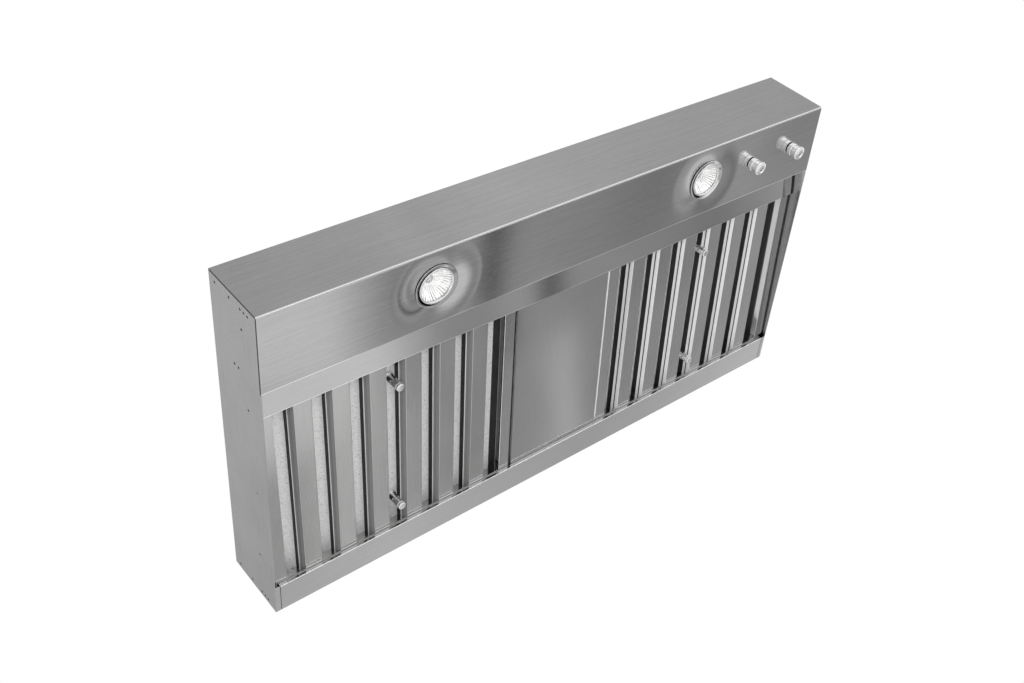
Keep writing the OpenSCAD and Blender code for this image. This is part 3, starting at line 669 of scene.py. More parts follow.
@dataclass(frozen=True)
class Mirror(Polished):
    """Reflector coating with a faint painted glow, as if the lamp lit it a little from inside, and
    painted shade in its creases.
    """

    # Strength of the painted glow that stands in for lamp light.
    glow: float = 0.32
    neck_r: float = 0.0058
    spot: Point = (0.0, 0.0)
    flutes: int = 36

    def shader(self, graph: Graph) -> Term:
        """Bright flutes with painted shade in the creases between them and in the neck, and a faint
        painted glow.
        """
        smears = graph.noise(graph.place(), 90.0)
        centre = {"Vector": graph.where(), "Location": (-self.spot[0], -self.spot[1], 0.0)}
        centred = graph.node("ShaderNodeMapping", {}, centre)
        radial = {"gradient_type": "RADIAL"}
        turn = graph.node("ShaderNodeTexGradient", radial, {"Vector": centred}, "Fac")
        wave = graph.math("PINGPONG", turn * self.flutes, 0.5)
        broken = graph.noise(graph.place(), 85.0)
        flute = graph.held(wave * 9.0 - 2.8) * graph.held(broken * 7.0 - 2.7) * 0.9
        # Painted shade along the creases between flutes and in the neck.
        crease = flute.most(graph.between(graph.away(self.spot), 0.0, self.neck_r) * 0.4)
        bright = graph.shade(self.colour, smears, 0.06)
        return graph.principled(
            Base_Color=graph.paint(bright, crease, 0.02), Metallic=1.0,
            Roughness=self.roughness + smears * self.smear, Emission_Strength=self.glow,
            Emission_Color=graph.mix(crease, (0.9, 0.9, 0.89), (0.0, 0.0, 0.0)),
        )


LAMP_SPOTS = ((-0.2285, -0.1925), (0.2285, -0.1925))
# The front panel's finish, with painted shade on its ends and a painted highlight along its rear hem.
BODY_STEEL = Dished(
    "body_steel_drawn", (0.56, 0.56, 0.56), 0.10, Grain.ACROSS, 0.6, 0.11, 0.03, 0.35, LAMP_SPOTS
)
# The end panels' finish; its band paints light as a brighter strip on the right end panel's inner face.
END_STEEL = Hemmed(
    "end_steel_drawn", (0.56, 0.56, 0.56), 0.22, Grain.BACK, 0.5, 0.07, 0.08, 0.25,
    shadow=((0.4600, 0.4612, 0.90),),
)
# The ledge's finish: painted highlights along its front and rear folds, and a painted shadow patch and a
# dark painted shade line near its right end.
LEDGE_STEEL = Hemmed(
    "ledge_steel_bright", (0.60, 0.60, 0.60), 0.11, Grain.ACROSS, 0.4, 0.05, 0.03, 0.2,
    folds=((-0.1350, -0.1335), (-0.0842, -0.0830)),
    shadow=((0.4375, 0.4572, 0.30), (0.4572, 0.4612, 0.02)),
)
# The lip's finish: a painted highlight along its front fold, painted shade on its hem and a painted
# highlight along the hem's lowest edge.
LIP_STEEL = Hemmed(
    "lip_steel_bright", (0.58, 0.58, 0.58), 0.13, Grain.ACROSS, 0.4, 0.06, 0.03, 0.2,
    folds=((0.20005, 0.2010),), hems=((0.1990, 0.20005),),
)
# The filter frames' finish: painted light on the upright sides, and painted shade in bands: a darker band
# and a dark line along the right filter's outer rail, and a dark line at x about -84 mm.
FRAME_STEEL = Rubbed(
    "frame_steel_bright", (0.60, 0.60, 0.595), 0.13, Grain.BACK, 0.4, 0.06, 0.04, 0.1, 1.0, 0.5,
    lean=0.75, bands=((0.4400, 0.4610, 0.27), (0.4572, 0.4610, 0.04), (-0.0848, -0.0824, 0.06)),
)
SPACER_STEEL = Brushed("spacer_steel_bright", (0.58, 0.58, 0.58), 0.11, Grain.BACK, 0.3, 0.04, 0.03, 0.3)
BAFFLE_STEEL = Crinkled("baffle_steel_rippled", (0.96, 0.96, 0.955), 0.45, 0.7)
TOP_ZINC = Galvanised("top_zinc_spangled", (0.52, 0.535, 0.545), 0.36, 42.0)
BOX_ZINC = Galvanised("box_zinc_spangled", (0.50, 0.515, 0.525), 0.38)
WHEEL_ZINC = Galvanised("wheel_zinc_fine", (0.52, 0.53, 0.54), 0.40, 120.0)
HANDLE_CHROME = Polished("handle_turned_bright", (0.84, 0.84, 0.84), 0.20)
KNOB_CHROME = Polished("knob_turned_bright", (0.88, 0.88, 0.88), 0.16)
TRIM_CHROME = Ringed("trim_plated_bright", (0.85, 0.85, 0.85), 0.12, spots=LAMP_SPOTS)
FRONT_GLASS = Clear("lamp_front_glass", (0.97, 0.98, 0.98), 0.02)
QUARTZ = Clear("bulb_quartz", (0.98, 0.98, 0.96), 0.04, 0.3)
STEATITE = Moulded("socket_steatite", (0.78, 0.75, 0.68), 0.55, 1800.0, 0.3, 0.05)
PHENOLIC = Moulded("control_phenolic", (0.055, 0.055, 0.06), 0.45, 1500.0, 0.3, 0.12)
NYLON = Moulded("terminal_nylon", (0.76, 0.75, 0.68), 0.42, 1200.0, 0.2, 0.04, 0.45)
ENAMEL = Moulded("transformer_enamel", (0.05, 0.05, 0.055), 0.32, 900.0, 0.5, 0.1, 0.5)
MOTOR_ENAMEL = Moulded("motor_enamel", (0.045, 0.045, 0.05), 0.36, 700.0, 0.6, 0.12, 0.5)
SLEEVE = Sleeved("wiring_sleeve", (0.035, 0.035, 0.038), 0.5)
SPRING_STEEL = Worn("spring_steel_dull", (0.34, 0.34, 0.335), 0.32, (0.26, 0.25, 0.24), 120.0)
SHAFT_STEEL = Worn("shaft_steel_ground", (0.52, 0.52, 0.515), 0.22, (0.44, 0.44, 0.43), 220.0)
SCREW_ZINC = Worn("screw_zinc_bright", (0.60, 0.60, 0.57), 0.26, (0.50, 0.51, 0.54), 260.0)
NUT_BRASS = Worn("nut_brass_washed", (0.60, 0.55, 0.42), 0.25, (0.52, 0.44, 0.27), 260.0)
LAMINATION = Worn("core_laminations", (0.22, 0.22, 0.23), 0.45, (0.16, 0.14, 0.13), 200.0)
FILAMENT = Worn("filament_tungsten", (0.30, 0.30, 0.30), 0.4, (0.22, 0.22, 0.22), 900.0)


def linked(name: str, data: Any) -> bpy.types.Object:
    """A new object in the scene."""
    made = bpy.data.objects.new(name, data)
    bpy.context.scene.collection.objects.link(made)
    return made


def moved(x: float = 0.0, y: float = 0.0, z: float = 0.0) -> Matrix:
    """A shift."""
    return Matrix.Translation((x, y, z))


def spun(degrees: float, axis: str) -> Matrix:
    """A turn about one axis."""
    return Matrix.Rotation(math.radians(degrees), 4, axis)


def at(x: float, y: float, z: float) -> Matrix:
    """A place in millimetres: across, behind the front face and above the underside."""
    return moved(x, CAD_BOX[0][1] / MM + y, UNDERSIDE + z)


def middle(node: str) -> Point:
    """A node's middle across and behind the front face, in millimetres."""
    low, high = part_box(node)
    centre = (low + high) / 2
    return centre.x / MM, (centre.y - CAD_BOX[0][1]) / MM


def hexagon(radius: float) -> list[Point]:
    """The corners of a hexagon."""
    return [(radius * math.cos(math.tau * i / 6), radius * math.sin(math.tau * i / 6)) for i in range(6)]


def rounded(corners: Sequence[Point], radius: float, steps: int = 3) -> list[Point]:
    """A profile whose inner corners are rounded.

    Args:
        corners: The profile's corners.
        radius: Radius of the rounding, less where a side is short.
        steps: Points in each rounding.

    Returns:
        The profile with its roundings.
    """
    share = 0.45
    result: list[Point] = [corners[0]]
    for before, corner, after in zip(corners, corners[1:], corners[2:]):
        here, back, on = (Vector((*p, 0.0)) for p in (corner, before, after))
        reach = min(radius, (back - here).length * share, (on - here).length * share)
        start = here + (back - here).normalized() * reach
        end = here + (on - here).normalized() * reach
        for i in range(steps + 1):
            t = i / steps
            point = start * (1 - t) ** 2 + here * (2 * t * (1 - t)) + end * t**2
            result.append((point.x, point.y))
    return result + [corners[-1]]


def soften(part: bmesh.types.BMesh, edge: float, segments: int) -> None:
    """Rounds all of a shape's edges, unless the edge is 0."""
    if edge > 0:
        bmesh.ops.bevel(
            part, geom=part.edges[:], offset=edge, segments=segments, profile=0.5, affect="EDGES",
            material=-1,
        )


class Form:
    """A bmesh being shaped, which ends as one object at the origin."""

    def __init__(self) -> None:
        """Starts with nothing in it."""
        self.mesh = bmesh.new()

    def add(self, part: bmesh.types.BMesh, place: Matrix) -> "Form":
        """Takes in a shape whose sizes are in millimetres.

        Args:
            part: The shape, which is used up.
            place: Where it goes, in millimetres.

        Returns:
            The form itself.
        """
        bmesh.ops.remove_doubles(part, verts=part.verts, dist=1e-4)
        bmesh.ops.recalc_face_normals(part, faces=part.faces)
        bmesh.ops.transform(part, matrix=Matrix.Scale(MM, 4) @ place, verts=part.verts)
        holder = bpy.data.meshes.new("holder")
        part.to_mesh(holder)
        part.free()
        self.mesh.from_mesh(holder)
        bpy.data.meshes.remove(holder)
        return self

    def turned(
        self, profile: Sequence[Point], place: Matrix, steps: int = 64, closed: bool = False
    ) -> "Form":
        """Spins a profile of radius and height round the local Z axis.

        Args:
            profile: Radius and height of each point, in millimetres.
            place: Where the turned shape goes.
            steps: Faces round the axis.
            closed: Whether the last point joins the first.

        Returns:
            The form itself.
        """
        part = bmesh.new()
        points = [part.verts.new((r, 0.0, h)) for r, h in profile]
        loop = points + points[:1] if closed else points
        edges = [part.edges.new(pair) for pair in zip(loop, loop[1:])]
        bmesh.ops.spin(
            part, geom=points + edges, cent=(0, 0, 0), axis=(0, 0, 1), dvec=(0, 0, 0),
            angle=math.tau, steps=steps, use_merge=True, use_duplicate=False,
        )
        return self.add(part, place)

    def block(self, size: Place, place: Matrix, edge: float, segments: int = 2) -> "Form":
        """Adds a box with rounded edges, its middle at the local origin."""
        part = bmesh.new()
        bmesh.ops.create_cube(part, size=1.0, matrix=Matrix.Diagonal((*size, 1.0)))
        soften(part, edge, segments)
        return self.add(part, place)

    def prism(
        self, outline: Sequence[Point], height: float, place: Matrix, edge: float = 0.0
    ) -> "Form":
        """Adds an outline drawn in local X and Y, raised along Z.

        Args:
            outline: The corners, in millimetres.
            height: How far it is raised.
            place: Where it goes.
            edge: Width of the rounding on its edges.

        Returns:
            The form itself.
        """
        part = bmesh.new()
        base = part.faces.new([part.verts.new((x, y, 0.0)) for x, y in outline])
        raised = bmesh.ops.extrude_face_region(part, geom=[base])
        tops = [v for v in raised["geom"] if isinstance(v, bmesh.types.BMVert)]
        bmesh.ops.translate(part, verts=tops, vec=(0, 0, height))
        bmesh.ops.recalc_face_normals(part, faces=part.faces)
        soften(part, edge, 2)
        return self.add(part, place)

    def tube(self, path: Sequence[Place], radius: float, place: Matrix) -> "Form":
        """Adds a round tube along a path, both in millimetres."""
        curve = bpy.data.curves.new("path", "CURVE")
        curve.dimensions = "3D"
        curve.bevel_depth = radius
        curve.bevel_resolution = 1
        curve.use_fill_caps = True
        line = curve.splines.new("POLY")
        line.points.add(len(path) - 1)
        for point, where in zip(line.points, path):
            point.co = (*where, 1.0)
        holder = bpy.data.objects.new("path", curve)
        part = bmesh.new()
        part.from_mesh(holder.to_mesh())
        holder.to_mesh_clear()
        bpy.data.objects.remove(holder)
        bpy.data.curves.remove(curve)
        return self.add(part, place)

    def piece(
        self, name: str, finish: Finish, body: str, slot: str,
        stands_for: Sequence[str] = (), sharp: float = 35.0,
    ) -> None:
        """Ends the form as a piece of the part.

        Args:
            name: The piece's name.
            finish: Its finish.
            body: The body that it rides on.
            slot: The material slot's name; not used.
            stands_for: The solids that it replaces.
            sharp: Angle in degrees over which an edge stays sharp, or 0 for flat faces.
        """
        data = bpy.data.meshes.new(name)
        self.mesh.to_mesh(data)
        self.mesh.free()
        if sharp > 0:
            data.shade_smooth()
            data.set_sharp_from_angle(angle=math.radians(sharp))
        data.materials.append(finish.material())
        made = linked(name, data)
        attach(made, body)
        if stands_for:
            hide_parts(*stands_for)
        LOG.info("%s: %d faces on %s", name, len(data.polygons), body)


class Side(Enum):
    """The left or the right one of a pair."""

    LEFT = -1
    RIGHT = 1

    @property
    def word(self) -> str:
        """The side's name in a node's name."""
        return self.name.lower()


def dress(finishes: Mapping[str, Finish], edge: float = 0.0, segments: int = 3) -> None:
    """Gives CAD nodes their finishes.

    Args:
        finishes: The finish of each node.
        edge: Width in millimetres that modifiers round its sharp edges by, or 0.
        segments: Faces across a rounded edge.
    """
    for node, finish in finishes.items():
        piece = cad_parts[node]
        for holder in piece.material_slots:
            holder.material = finish.material()
        if edge > 0:
            weld = piece.modifiers.new("weld", "WELD")
            weld.merge_threshold = 0.01 * MM
            bevel = piece.modifiers.new("round", "BEVEL")
            bevel.width = edge * MM
            bevel.segments = segments
            bevel.limit_method = "ANGLE"
            bevel.angle_limit = math.radians(35)
            bevel.use_clamp_overlap = True
            bevel.harden_normals = True
        LOG.info("%s: %s", node, finish.name)


@dataclass
class Casing:
    """The body's folded sheets."""

    edge: float = 0.4

    def build(self) -> None:
        """Dresses the sheets."""
        dress({"front_panel": BODY_STEEL}, self.edge)
        dress({
            "left_end_panel": END_STEEL, "right_end_panel": END_STEEL, "rear_panel": LIP_STEEL,
            "filter_ledge": LEDGE_STEEL, "rear_stop_rail": LIP_STEEL, "top_panel": TOP_ZINC,
            "rear_corner_brackets": END_STEEL, "centre_spacer": SPACER_STEEL,
        })


class ScrewHead(Enum):
    """The kinds of screw head."""

    PAN = "pan"
    HEX = "hex washer"


@dataclass
class Screw:
    """A sheet metal screw whose head stands on the local XY plane."""

    head: ScrewHead
    head_r: float = 4.0
    head_h: float = 2.4
    shank_r: float = 2.0
    length: float = 6.0
    pitch: float = 1.2
    flats_r: float = 2.9

    def add_to(self, form: Form, place: Matrix) -> None:
        """Adds the screw to a form."""
        if self.head is ScrewHead.PAN:
            self._pan(form, place)
        else:
            self._hex(form, place)
        self._shank(form, place)

    def _pan(self, form: Form, place: Matrix) -> None:
        """Domed head with a cross recess."""
        r, h = self.head_r, self.head_h
        dome = [
            (0.0, h - 0.9), (0.7, h - 0.9), (1.2, h), (2.6, h - 0.1), (r - 0.3, h * 0.6), (r, 0.2),
            (r, 0.0), (0.0, 0.0),
        ]
        form.turned(rounded(dome, 0.4), place, 32)
        for turn in (0, 90):
            form.block((3.4, 0.6, 1.0), place @ spun(turn, "Z") @ moved(z=h - 0.42), 0.12, 1)

    def _hex(self, form: Form, place: Matrix) -> None:
        """Hexagon on a washer, with a shallow cup in its top."""
        r, h = self.head_r, self.head_h
        washer = [(0.0, 0.0), (r, 0.0), (r, 0.35), (r - 0.5, 0.7), (0.0, 0.7)]
        form.turned(rounded(washer, 0.2, 2), place, 32)
        form.prism(hexagon(self.flats_r), h - 0.6, place @ moved(z=0.6), 0.18)
        form.turned([(0.0, h - 0.35), (1.4, h - 0.3), (1.7, h), (2.0, h)], place, 24)

    def _shank(self, form: Form, place: Matrix) -> None:
        """Threaded shank that ends in a point."""
        r, core = self.shank_r, self.shank_r * 0.78
        profile: list[Point] = [(0.0, -0.02), (r * 0.8, -0.02)]
        for i in range(int((self.length - 1.4) / self.pitch)):
            z = -0.2 - i * self.pitch
            profile += [(core, z), (r, z - self.pitch / 2), (core, z - self.pitch)]
        profile += [(r * 0.5, -self.length + 0.7), (0.0, -self.length)]
        form.turned(profile, place, 20)


@dataclass
class BaffleFilter:
    """One of the two lift-out filters."""

    side: Side
    front: float = 150.0
    seat: float = 19.952
    middle_x: float = 271.0
    handle_r: float = 5.5
    drop: float = 9.5
    boss_r: float = 7.0
    boss_low: float = 16.5
    boss_top: float = 22.5
    screw_z: float = 23.3
    edge: float = 0.7
    handle_places: Point = (52.0, 258.353)
    # Painted light and shade per filter: each side's flange tone, mirror share and crease shade; the left
    # filter's flanges are painted dark and the right filter's bright.
    flanges: ClassVar[Mapping[Side, Place]] = {
        Side.LEFT: (0.25, 0.85, 0.20), Side.RIGHT: (0.84, 0.75, 0.05)
    }

    @property
    def body(self) -> str:
        """The body that the filter's pieces ride on."""
        return f"{self.side.word}_filter"

    def plane(self, v: float) -> Matrix:
        """Place on the filter's underside, v behind its front end."""
        turn = Matrix.Rotation(-FILTER_TILT, 4, "X")
        return at(self.side.value * self.middle_x, self.front, self.seat) @ turn @ moved(y=v)

    def build(self) -> None:
        """Dresses the sheets and turns the handles."""
        dress({f"{self.body}_frame": FRAME_STEEL, f"{self.body}_rear_baffles": BAFFLE_STEEL})
        # Each filter gets its own copy of the tray finish, with its side's painted flange tone and crease
        # shade.
        tray = Pressed(
            f"tray_steel_{self.side.word}", (0.57, 0.57, 0.565), 0.15, Grain.BACK, 0.4, 0.06, 0.04, 0.1,
            *self.flanges[self.side], middle_x=self.side.value * self.middle_x * MM,
        )
        dress({f"{self.body}_front_baffles": tray}, self.edge)
        self.handles()
        self.screws()

    def handles(self) -> None:
        """Turns the two handles."""
        r, boss, end, top = self.handle_r, self.boss_r, -self.drop, self.boss_top
        profile = rounded([
            (0.0, end), (r - 0.9, end), (r, end + 0.9), (r, end + 3.2), (r - 0.45, end + 3.5),
            (r - 0.45, end + 4.3), (r, end + 4.6), (r, self.boss_low), (boss, self.boss_low + 0.2),
            (boss, top), (2.1, top), (2.1, top - 6.0), (0.0, top - 6.4),
        ], 0.35)
        form = Form()
        for v in self.handle_places:
            form.turned(profile, self.plane(v), 48)
        name = f"{self.body}_handles"
        form.piece(f"{name}_turned", HANDLE_CHROME, self.body, "handle_chrome", [name])

    def screws(self) -> None:
        """Puts a pan head screw behind each handle."""
        form = Form()
        for v in self.handle_places:
            Screw(ScrewHead.PAN).add_to(form, self.plane(v) @ moved(z=self.screw_z))
        name = f"{self.body}_handle_screws"
        form.piece(f"{name}_threaded", SCREW_ZINC, self.body, "screw_zinc", [name])


@dataclass
class Lamp:
    """A recessed lamp: trim, glass, faceted reflector, capsule, socket and springs."""

    side: Side
    trim_r: float = 30.7
    lip_r: float = 23.0
    barrel_r: float = 26.1
    barrel_h: float = 14.0
    glass_r: float = 24.6
    bowl_r: float = 24.4
    bowl_low: float = 3.1
    neck_r: float = 9.0
    neck_z: float = 30.0
    bowl_z: float = 15.5
    top_z: float = 38.0
    facets: int = 96
    rows: int = 6
    flute_depth: float = 0.55
    bulb_z: float = 14.2
    socket_r: float = 12.0

    def node(self, part: str) -> str:
        """Name of one of the lamp's nodes."""
        return f"{self.side.word}_lamp_{part}"

    def stand_in(self, form: Form, part: str, ending: str, finish: Finish, slot: str) -> None:
        """Ends a form as the piece that stands for one of the lamp's nodes."""
        form.piece(f"{self.node(part)}_{ending}", finish, "hood", slot, [self.node(part)])

    @property
    def place(self) -> Matrix:
        """The lamp's axis, on the underside."""
        return at(*middle(self.node("glass")), 0.0)

    def build(self) -> None:
        """Makes the lamp's pieces."""
        self.trim()
        self.glass()
        self.reflector()
        self.bulb()
        self.socket()
        self.springs()

    def trim(self) -> None:
        """Turns the trim ring with its rolled lip and barrel, and the ring that holds the glass."""
        r, lip, barrel, wall = self.trim_r, self.lip_r, self.barrel_r, self.barrel_r - 0.8
        funnel = rounded([
            (barrel, 0.0), (r - 1.1, 0.0), (r, -0.45), (r, -0.9), (r - 0.4, -1.25), (r - 0.9, -1.3),
            (barrel + 0.1, -0.1), (wall + 0.2, 0.1), (wall, 0.6), (wall, self.barrel_h),
            (barrel, self.barrel_h),
        ], 0.35)
        keeper = rounded([
            (lip - 0.5, 0.95), (lip - 0.5, -0.6), (lip - 0.1, -1.35), (lip + 0.8, -1.55),
            (lip + 1.8, -1.2), (lip + 2.2, -0.4), (lip + 2.2, 0.95),
        ], 0.3)
        form = Form()
        for ring in (funnel, keeper):
            form.turned(ring, self.place, 96, closed=True)
        self.stand_in(form, "trim", "ring", TRIM_CHROME, "trim_chrome")

    def glass(self) -> None:
        """Turns the front glass, slightly domed, with a ground edge."""
        r = self.glass_r
        profile = rounded([
            (0.0, 1.35), (12.0, 1.22), (r - 0.4, 1.0), (r, 1.4), (r, 2.6), (r - 0.4, 3.0), (0.0, 3.0)
        ], 0.3)
        form = Form().turned(profile, self.place, 72)
        self.stand_in(form, "glass", "pressed", FRONT_GLASS, "lamp_glass")

    def bowl(self, height: float) -> float:
        """Radius of the bowl at a share of its height."""
        return self.neck_r + (self.bowl_r - self.neck_r) * math.sqrt(max(0.0, 1 - height))

    def reflector(self) -> None:
        """Turns the bowl, draws every other radial line of it inwards and closes it behind."""
        low, place = self.bowl_low, self.place
        steps = [1 - (1 - i / self.rows) ** 2 for i in range(self.rows + 1)]
        inner = [(self.bowl(t) - 1.3 - t * 1.5, low + (self.bowl_z - low) * t) for t in steps]
        outer = [(self.bowl(t), low + (self.neck_z - low) * t) for t in steps]
        throat = [(5.6, self.bowl_z + 1.2), (5.2, self.top_z)]
        form = Form().turned([outer[0], *inner, *throat], place, self.facets)
        axis = place.translation * MM
        for vert in form.mesh.verts:
            away = vert.co - axis
            out = math.hypot(away.x, away.y)
            column = round(math.atan2(away.y, away.x) / math.tau * self.facets)
            if column % 2 and out >= 6.0 * MM and away.z <= self.neck_z * MM:
                vert.co -= Vector((away.x, away.y, 0.0)) / out * self.flute_depth * MM
        mirror = Mirror(
            f"reflector_facets_{self.side.word}", (0.88, 0.88, 0.87), 0.30, 0.04, spot=(axis.x, axis.y)
        )
        name = self.node("reflector")
        form.piece(f"{name}_facets", mirror, "hood", "reflector", [name], sharp=0.0)
        back = rounded(outer + [(self.neck_r, self.top_z), (5.2, self.top_z)], 0.5, 2)
        Form().turned(back, place).piece(f"{name}_back", STEATITE, "hood", "reflector")

    def bulb(self) -> None:
        """Blows the capsule and winds its filament on two posts."""
        tip = self.bulb_z
        profile = rounded([
            (0.0, tip - 0.6), (0.8, tip), (2.9, tip + 1.0), (4.3, tip + 3.2), (4.5, tip + 6.0),
            (4.5, tip + 13.0), (3.9, tip + 14.6), (3.6, tip + 17.0), (3.6, self.top_z), (0.0, self.top_z),
        ], 1.2, 5)
        form = Form().turned(profile, self.place, 40)
        self.stand_in(form, "bulb", "capsule", QUARTZ, "bulb_glass")
        steps, half, coil_r, turn = 60, 1.9, 0.55, 0.9
        coil = [
            (
                2.0 * (i / steps - 0.5) * half, coil_r * math.cos(i * turn),
                tip + 8.0 + coil_r * math.sin(i * turn),
            )
            for i in range(steps + 1)
        ]
        wire = Form().tube(coil, 0.16, self.place)
        for end in (coil[0], coil[-1]):
            post = [end, (end[0], 0.0, tip + 12.0), (end[0] * 0.8, 0.0, self.top_z - 1.0)]
            wire.tube(post, 0.22, self.place)
        wire.piece(self.node("bulb_filament"), FILAMENT, "hood", "spring_steel")

    def socket(self) -> None:
        """Turns the ceramic socket with its waist."""
        z, r = self.top_z, self.socket_r
        profile = rounded([
            (0.0, z), (r - 0.6, z), (r, z + 0.6), (r, z + 4.6), (r - 1.1, z + 5.4), (r - 1.1, z + 7.4),
            (r, z + 8.2), (r, z + 15.2), (r - 0.8, z + 16.0), (0.0, z + 16.0),
        ], 0.5)
        form = Form().turned(profile, self.place, 48)
        self.stand_in(form, "socket", "fired", STEATITE, "socket_ceramic")

    def springs(self) -> None:
        """Bends the two leaf springs, each with a rolled tip."""
        form = Form()
        tip, width = self.trim_r + 6.0, 8.0
        line = rounded([
            (tip + 4.0, 4.2), (tip, 1.3), (self.barrel_r + 1.5, self.barrel_h + 1.5),
            (self.barrel_r - 0.8, self.barrel_h + 0.1),
        ], 1.6, 5)
        leaf = line + [(x + 0.38, z + 0.45) for x, z in reversed(line)]
        for turn in (0, 180):
            form.prism(leaf, width, self.place @ spun(turn, "Z") @ moved(y=width / 2) @ spun(90, "X"))
        self.stand_in(form, "springs", "bent", SPRING_STEEL, "spring_steel")


@dataclass
class Control:
    """A knob, its shaft and the rotary control above the light panel."""

    dial: str
    case: str
    size: Place
    body_r: float = 9.8
    rim_r: float = 10.5
    bore_r: float = 7.9
    shaft_r: float = 3.05
    low: float = -21.0
    high: float = -1.0
    sheet: float = 1.2
    threads: int = 7
    thread_pitch: float = 0.8

    @property
    def place(self) -> Matrix:
        """The knob's axis, on the underside."""
        return at(*middle(f"{self.dial}_knob"), 0.0)

    @property
    def body(self) -> str:
        """The body that the knob rides on."""
        return f"{self.dial}_dial"

    def build(self) -> None:
        """Makes the knob and the control's case."""
        dress({f"{self.dial}_shaft": SHAFT_STEEL})
        self.knob()
        self.housing()

    def knob(self) -> None:
        """Turns the knob: a flared rim, a dished end with a mark, and a skirt with a groove."""
        r, rim, bore, shaft, low, high = (
            self.body_r, self.rim_r, self.bore_r, self.shaft_r, self.low, self.high
        )
        profile = rounded([
            (0.0, low + 1.4), (4.6, low + 1.3), (5.3, low + 0.1), (6.3, low), (r - 0.7, low + 1.5),
            (rim - 0.3, low + 2.3), (rim, low + 3.0), (rim, low + 3.8), (r, low + 4.8), (r, low + 12.6),
            (r - 0.6, low + 13.0), (r - 0.6, low + 13.7), (r, low + 14.1), (r, high - 0.6),
            (r - 0.5, high), (bore, high), (bore, high - 5.5), (shaft, high - 5.6), (shaft, low + 7.0),
            (0.0, low + 7.0),
        ], 0.5)
        form = Form().turned(profile, self.place, 72)
        name = f"{self.dial}_knob"
        form.piece(f"{name}_turned", KNOB_CHROME, self.body, "knob_chrome", [name], sharp=40.0)
        mark = Form().block((0.9, 2.6, 0.5), self.place @ moved(0, 3.0, low + 1.2), 0.15, 1)
        mark.piece(f"{name}_mark", PHENOLIC, self.body, "control_plastic")

    def housing(self) -> None:
        """Moulds the case with its cover step, four rivets and a bushing thread."""
        width, depth, height = self.size
        place, base, inset = self.place, self.sheet, 5
        form = Form()
        form.block((width, depth, height * 0.62), place @ moved(z=base + height * 0.31), 1.4, 3)
        form.block((width - 3, depth - 3, height * 0.36), place @ moved(z=base + height * 0.82), 1.0)
        rivet = rounded([(0.0, 0.0), (2.0, 0.0), (1.9, 0.5), (1.2, 0.75), (0.0, 0.75)], 0.2, 2)
        for x in (inset - width / 2, width / 2 - inset):
            for y in (inset - depth / 2, depth / 2 - inset):
                form.turned(rivet, place @ moved(x, y, 1.1 + height * 0.97), 20)
        thread: list[Point] = [(3.1, base)]
        for i in range(self.threads):
            drop = i * self.thread_pitch
            thread += [(4.75, 1.0 - drop), (4.45, 0.6 - drop)]
        form.turned(thread + [(4.4, -4.8), (3.1, -5.0)], place, 32)
        form.piece(f"{self.case}_moulded", PHENOLIC, "hood", "control_plastic", [self.case])


@dataclass
class LockNuts:
    """The nuts that hold the controls, each on a washer."""

    height: float = 2.4
    corner_r: float = 7.35
    bore_r: float = 4.8
    washer_h: float = 0.5

    def build(self) -> None:
        """Makes both nuts as one piece."""
        form = Form()
        bore, corners = hexagon(self.bore_r), hexagon(self.corner_r)
        washer = [
            (self.bore_r, -self.washer_h), (7.2, -self.washer_h), (7.3, -self.washer_h / 2), (7.2, 0.0),
            (self.bore_r, 0.0),
        ]
        for dial in ("fan_speed", "light_dimmer"):
            place = at(*middle(f"{dial}_knob"), 0.0)
            for i in range(6):
                wedge = [bore[i], corners[i], corners[(i + 1) % 6], bore[(i + 1) % 6]]
                form.prism(wedge, self.height - self.washer_h, place @ moved(z=-self.height))
            form.turned(washer, place, 40, closed=True)
        form.piece("control_lock_nuts_cut", NUT_BRASS, "hood", "nut_brass", ["control_lock_nuts"])


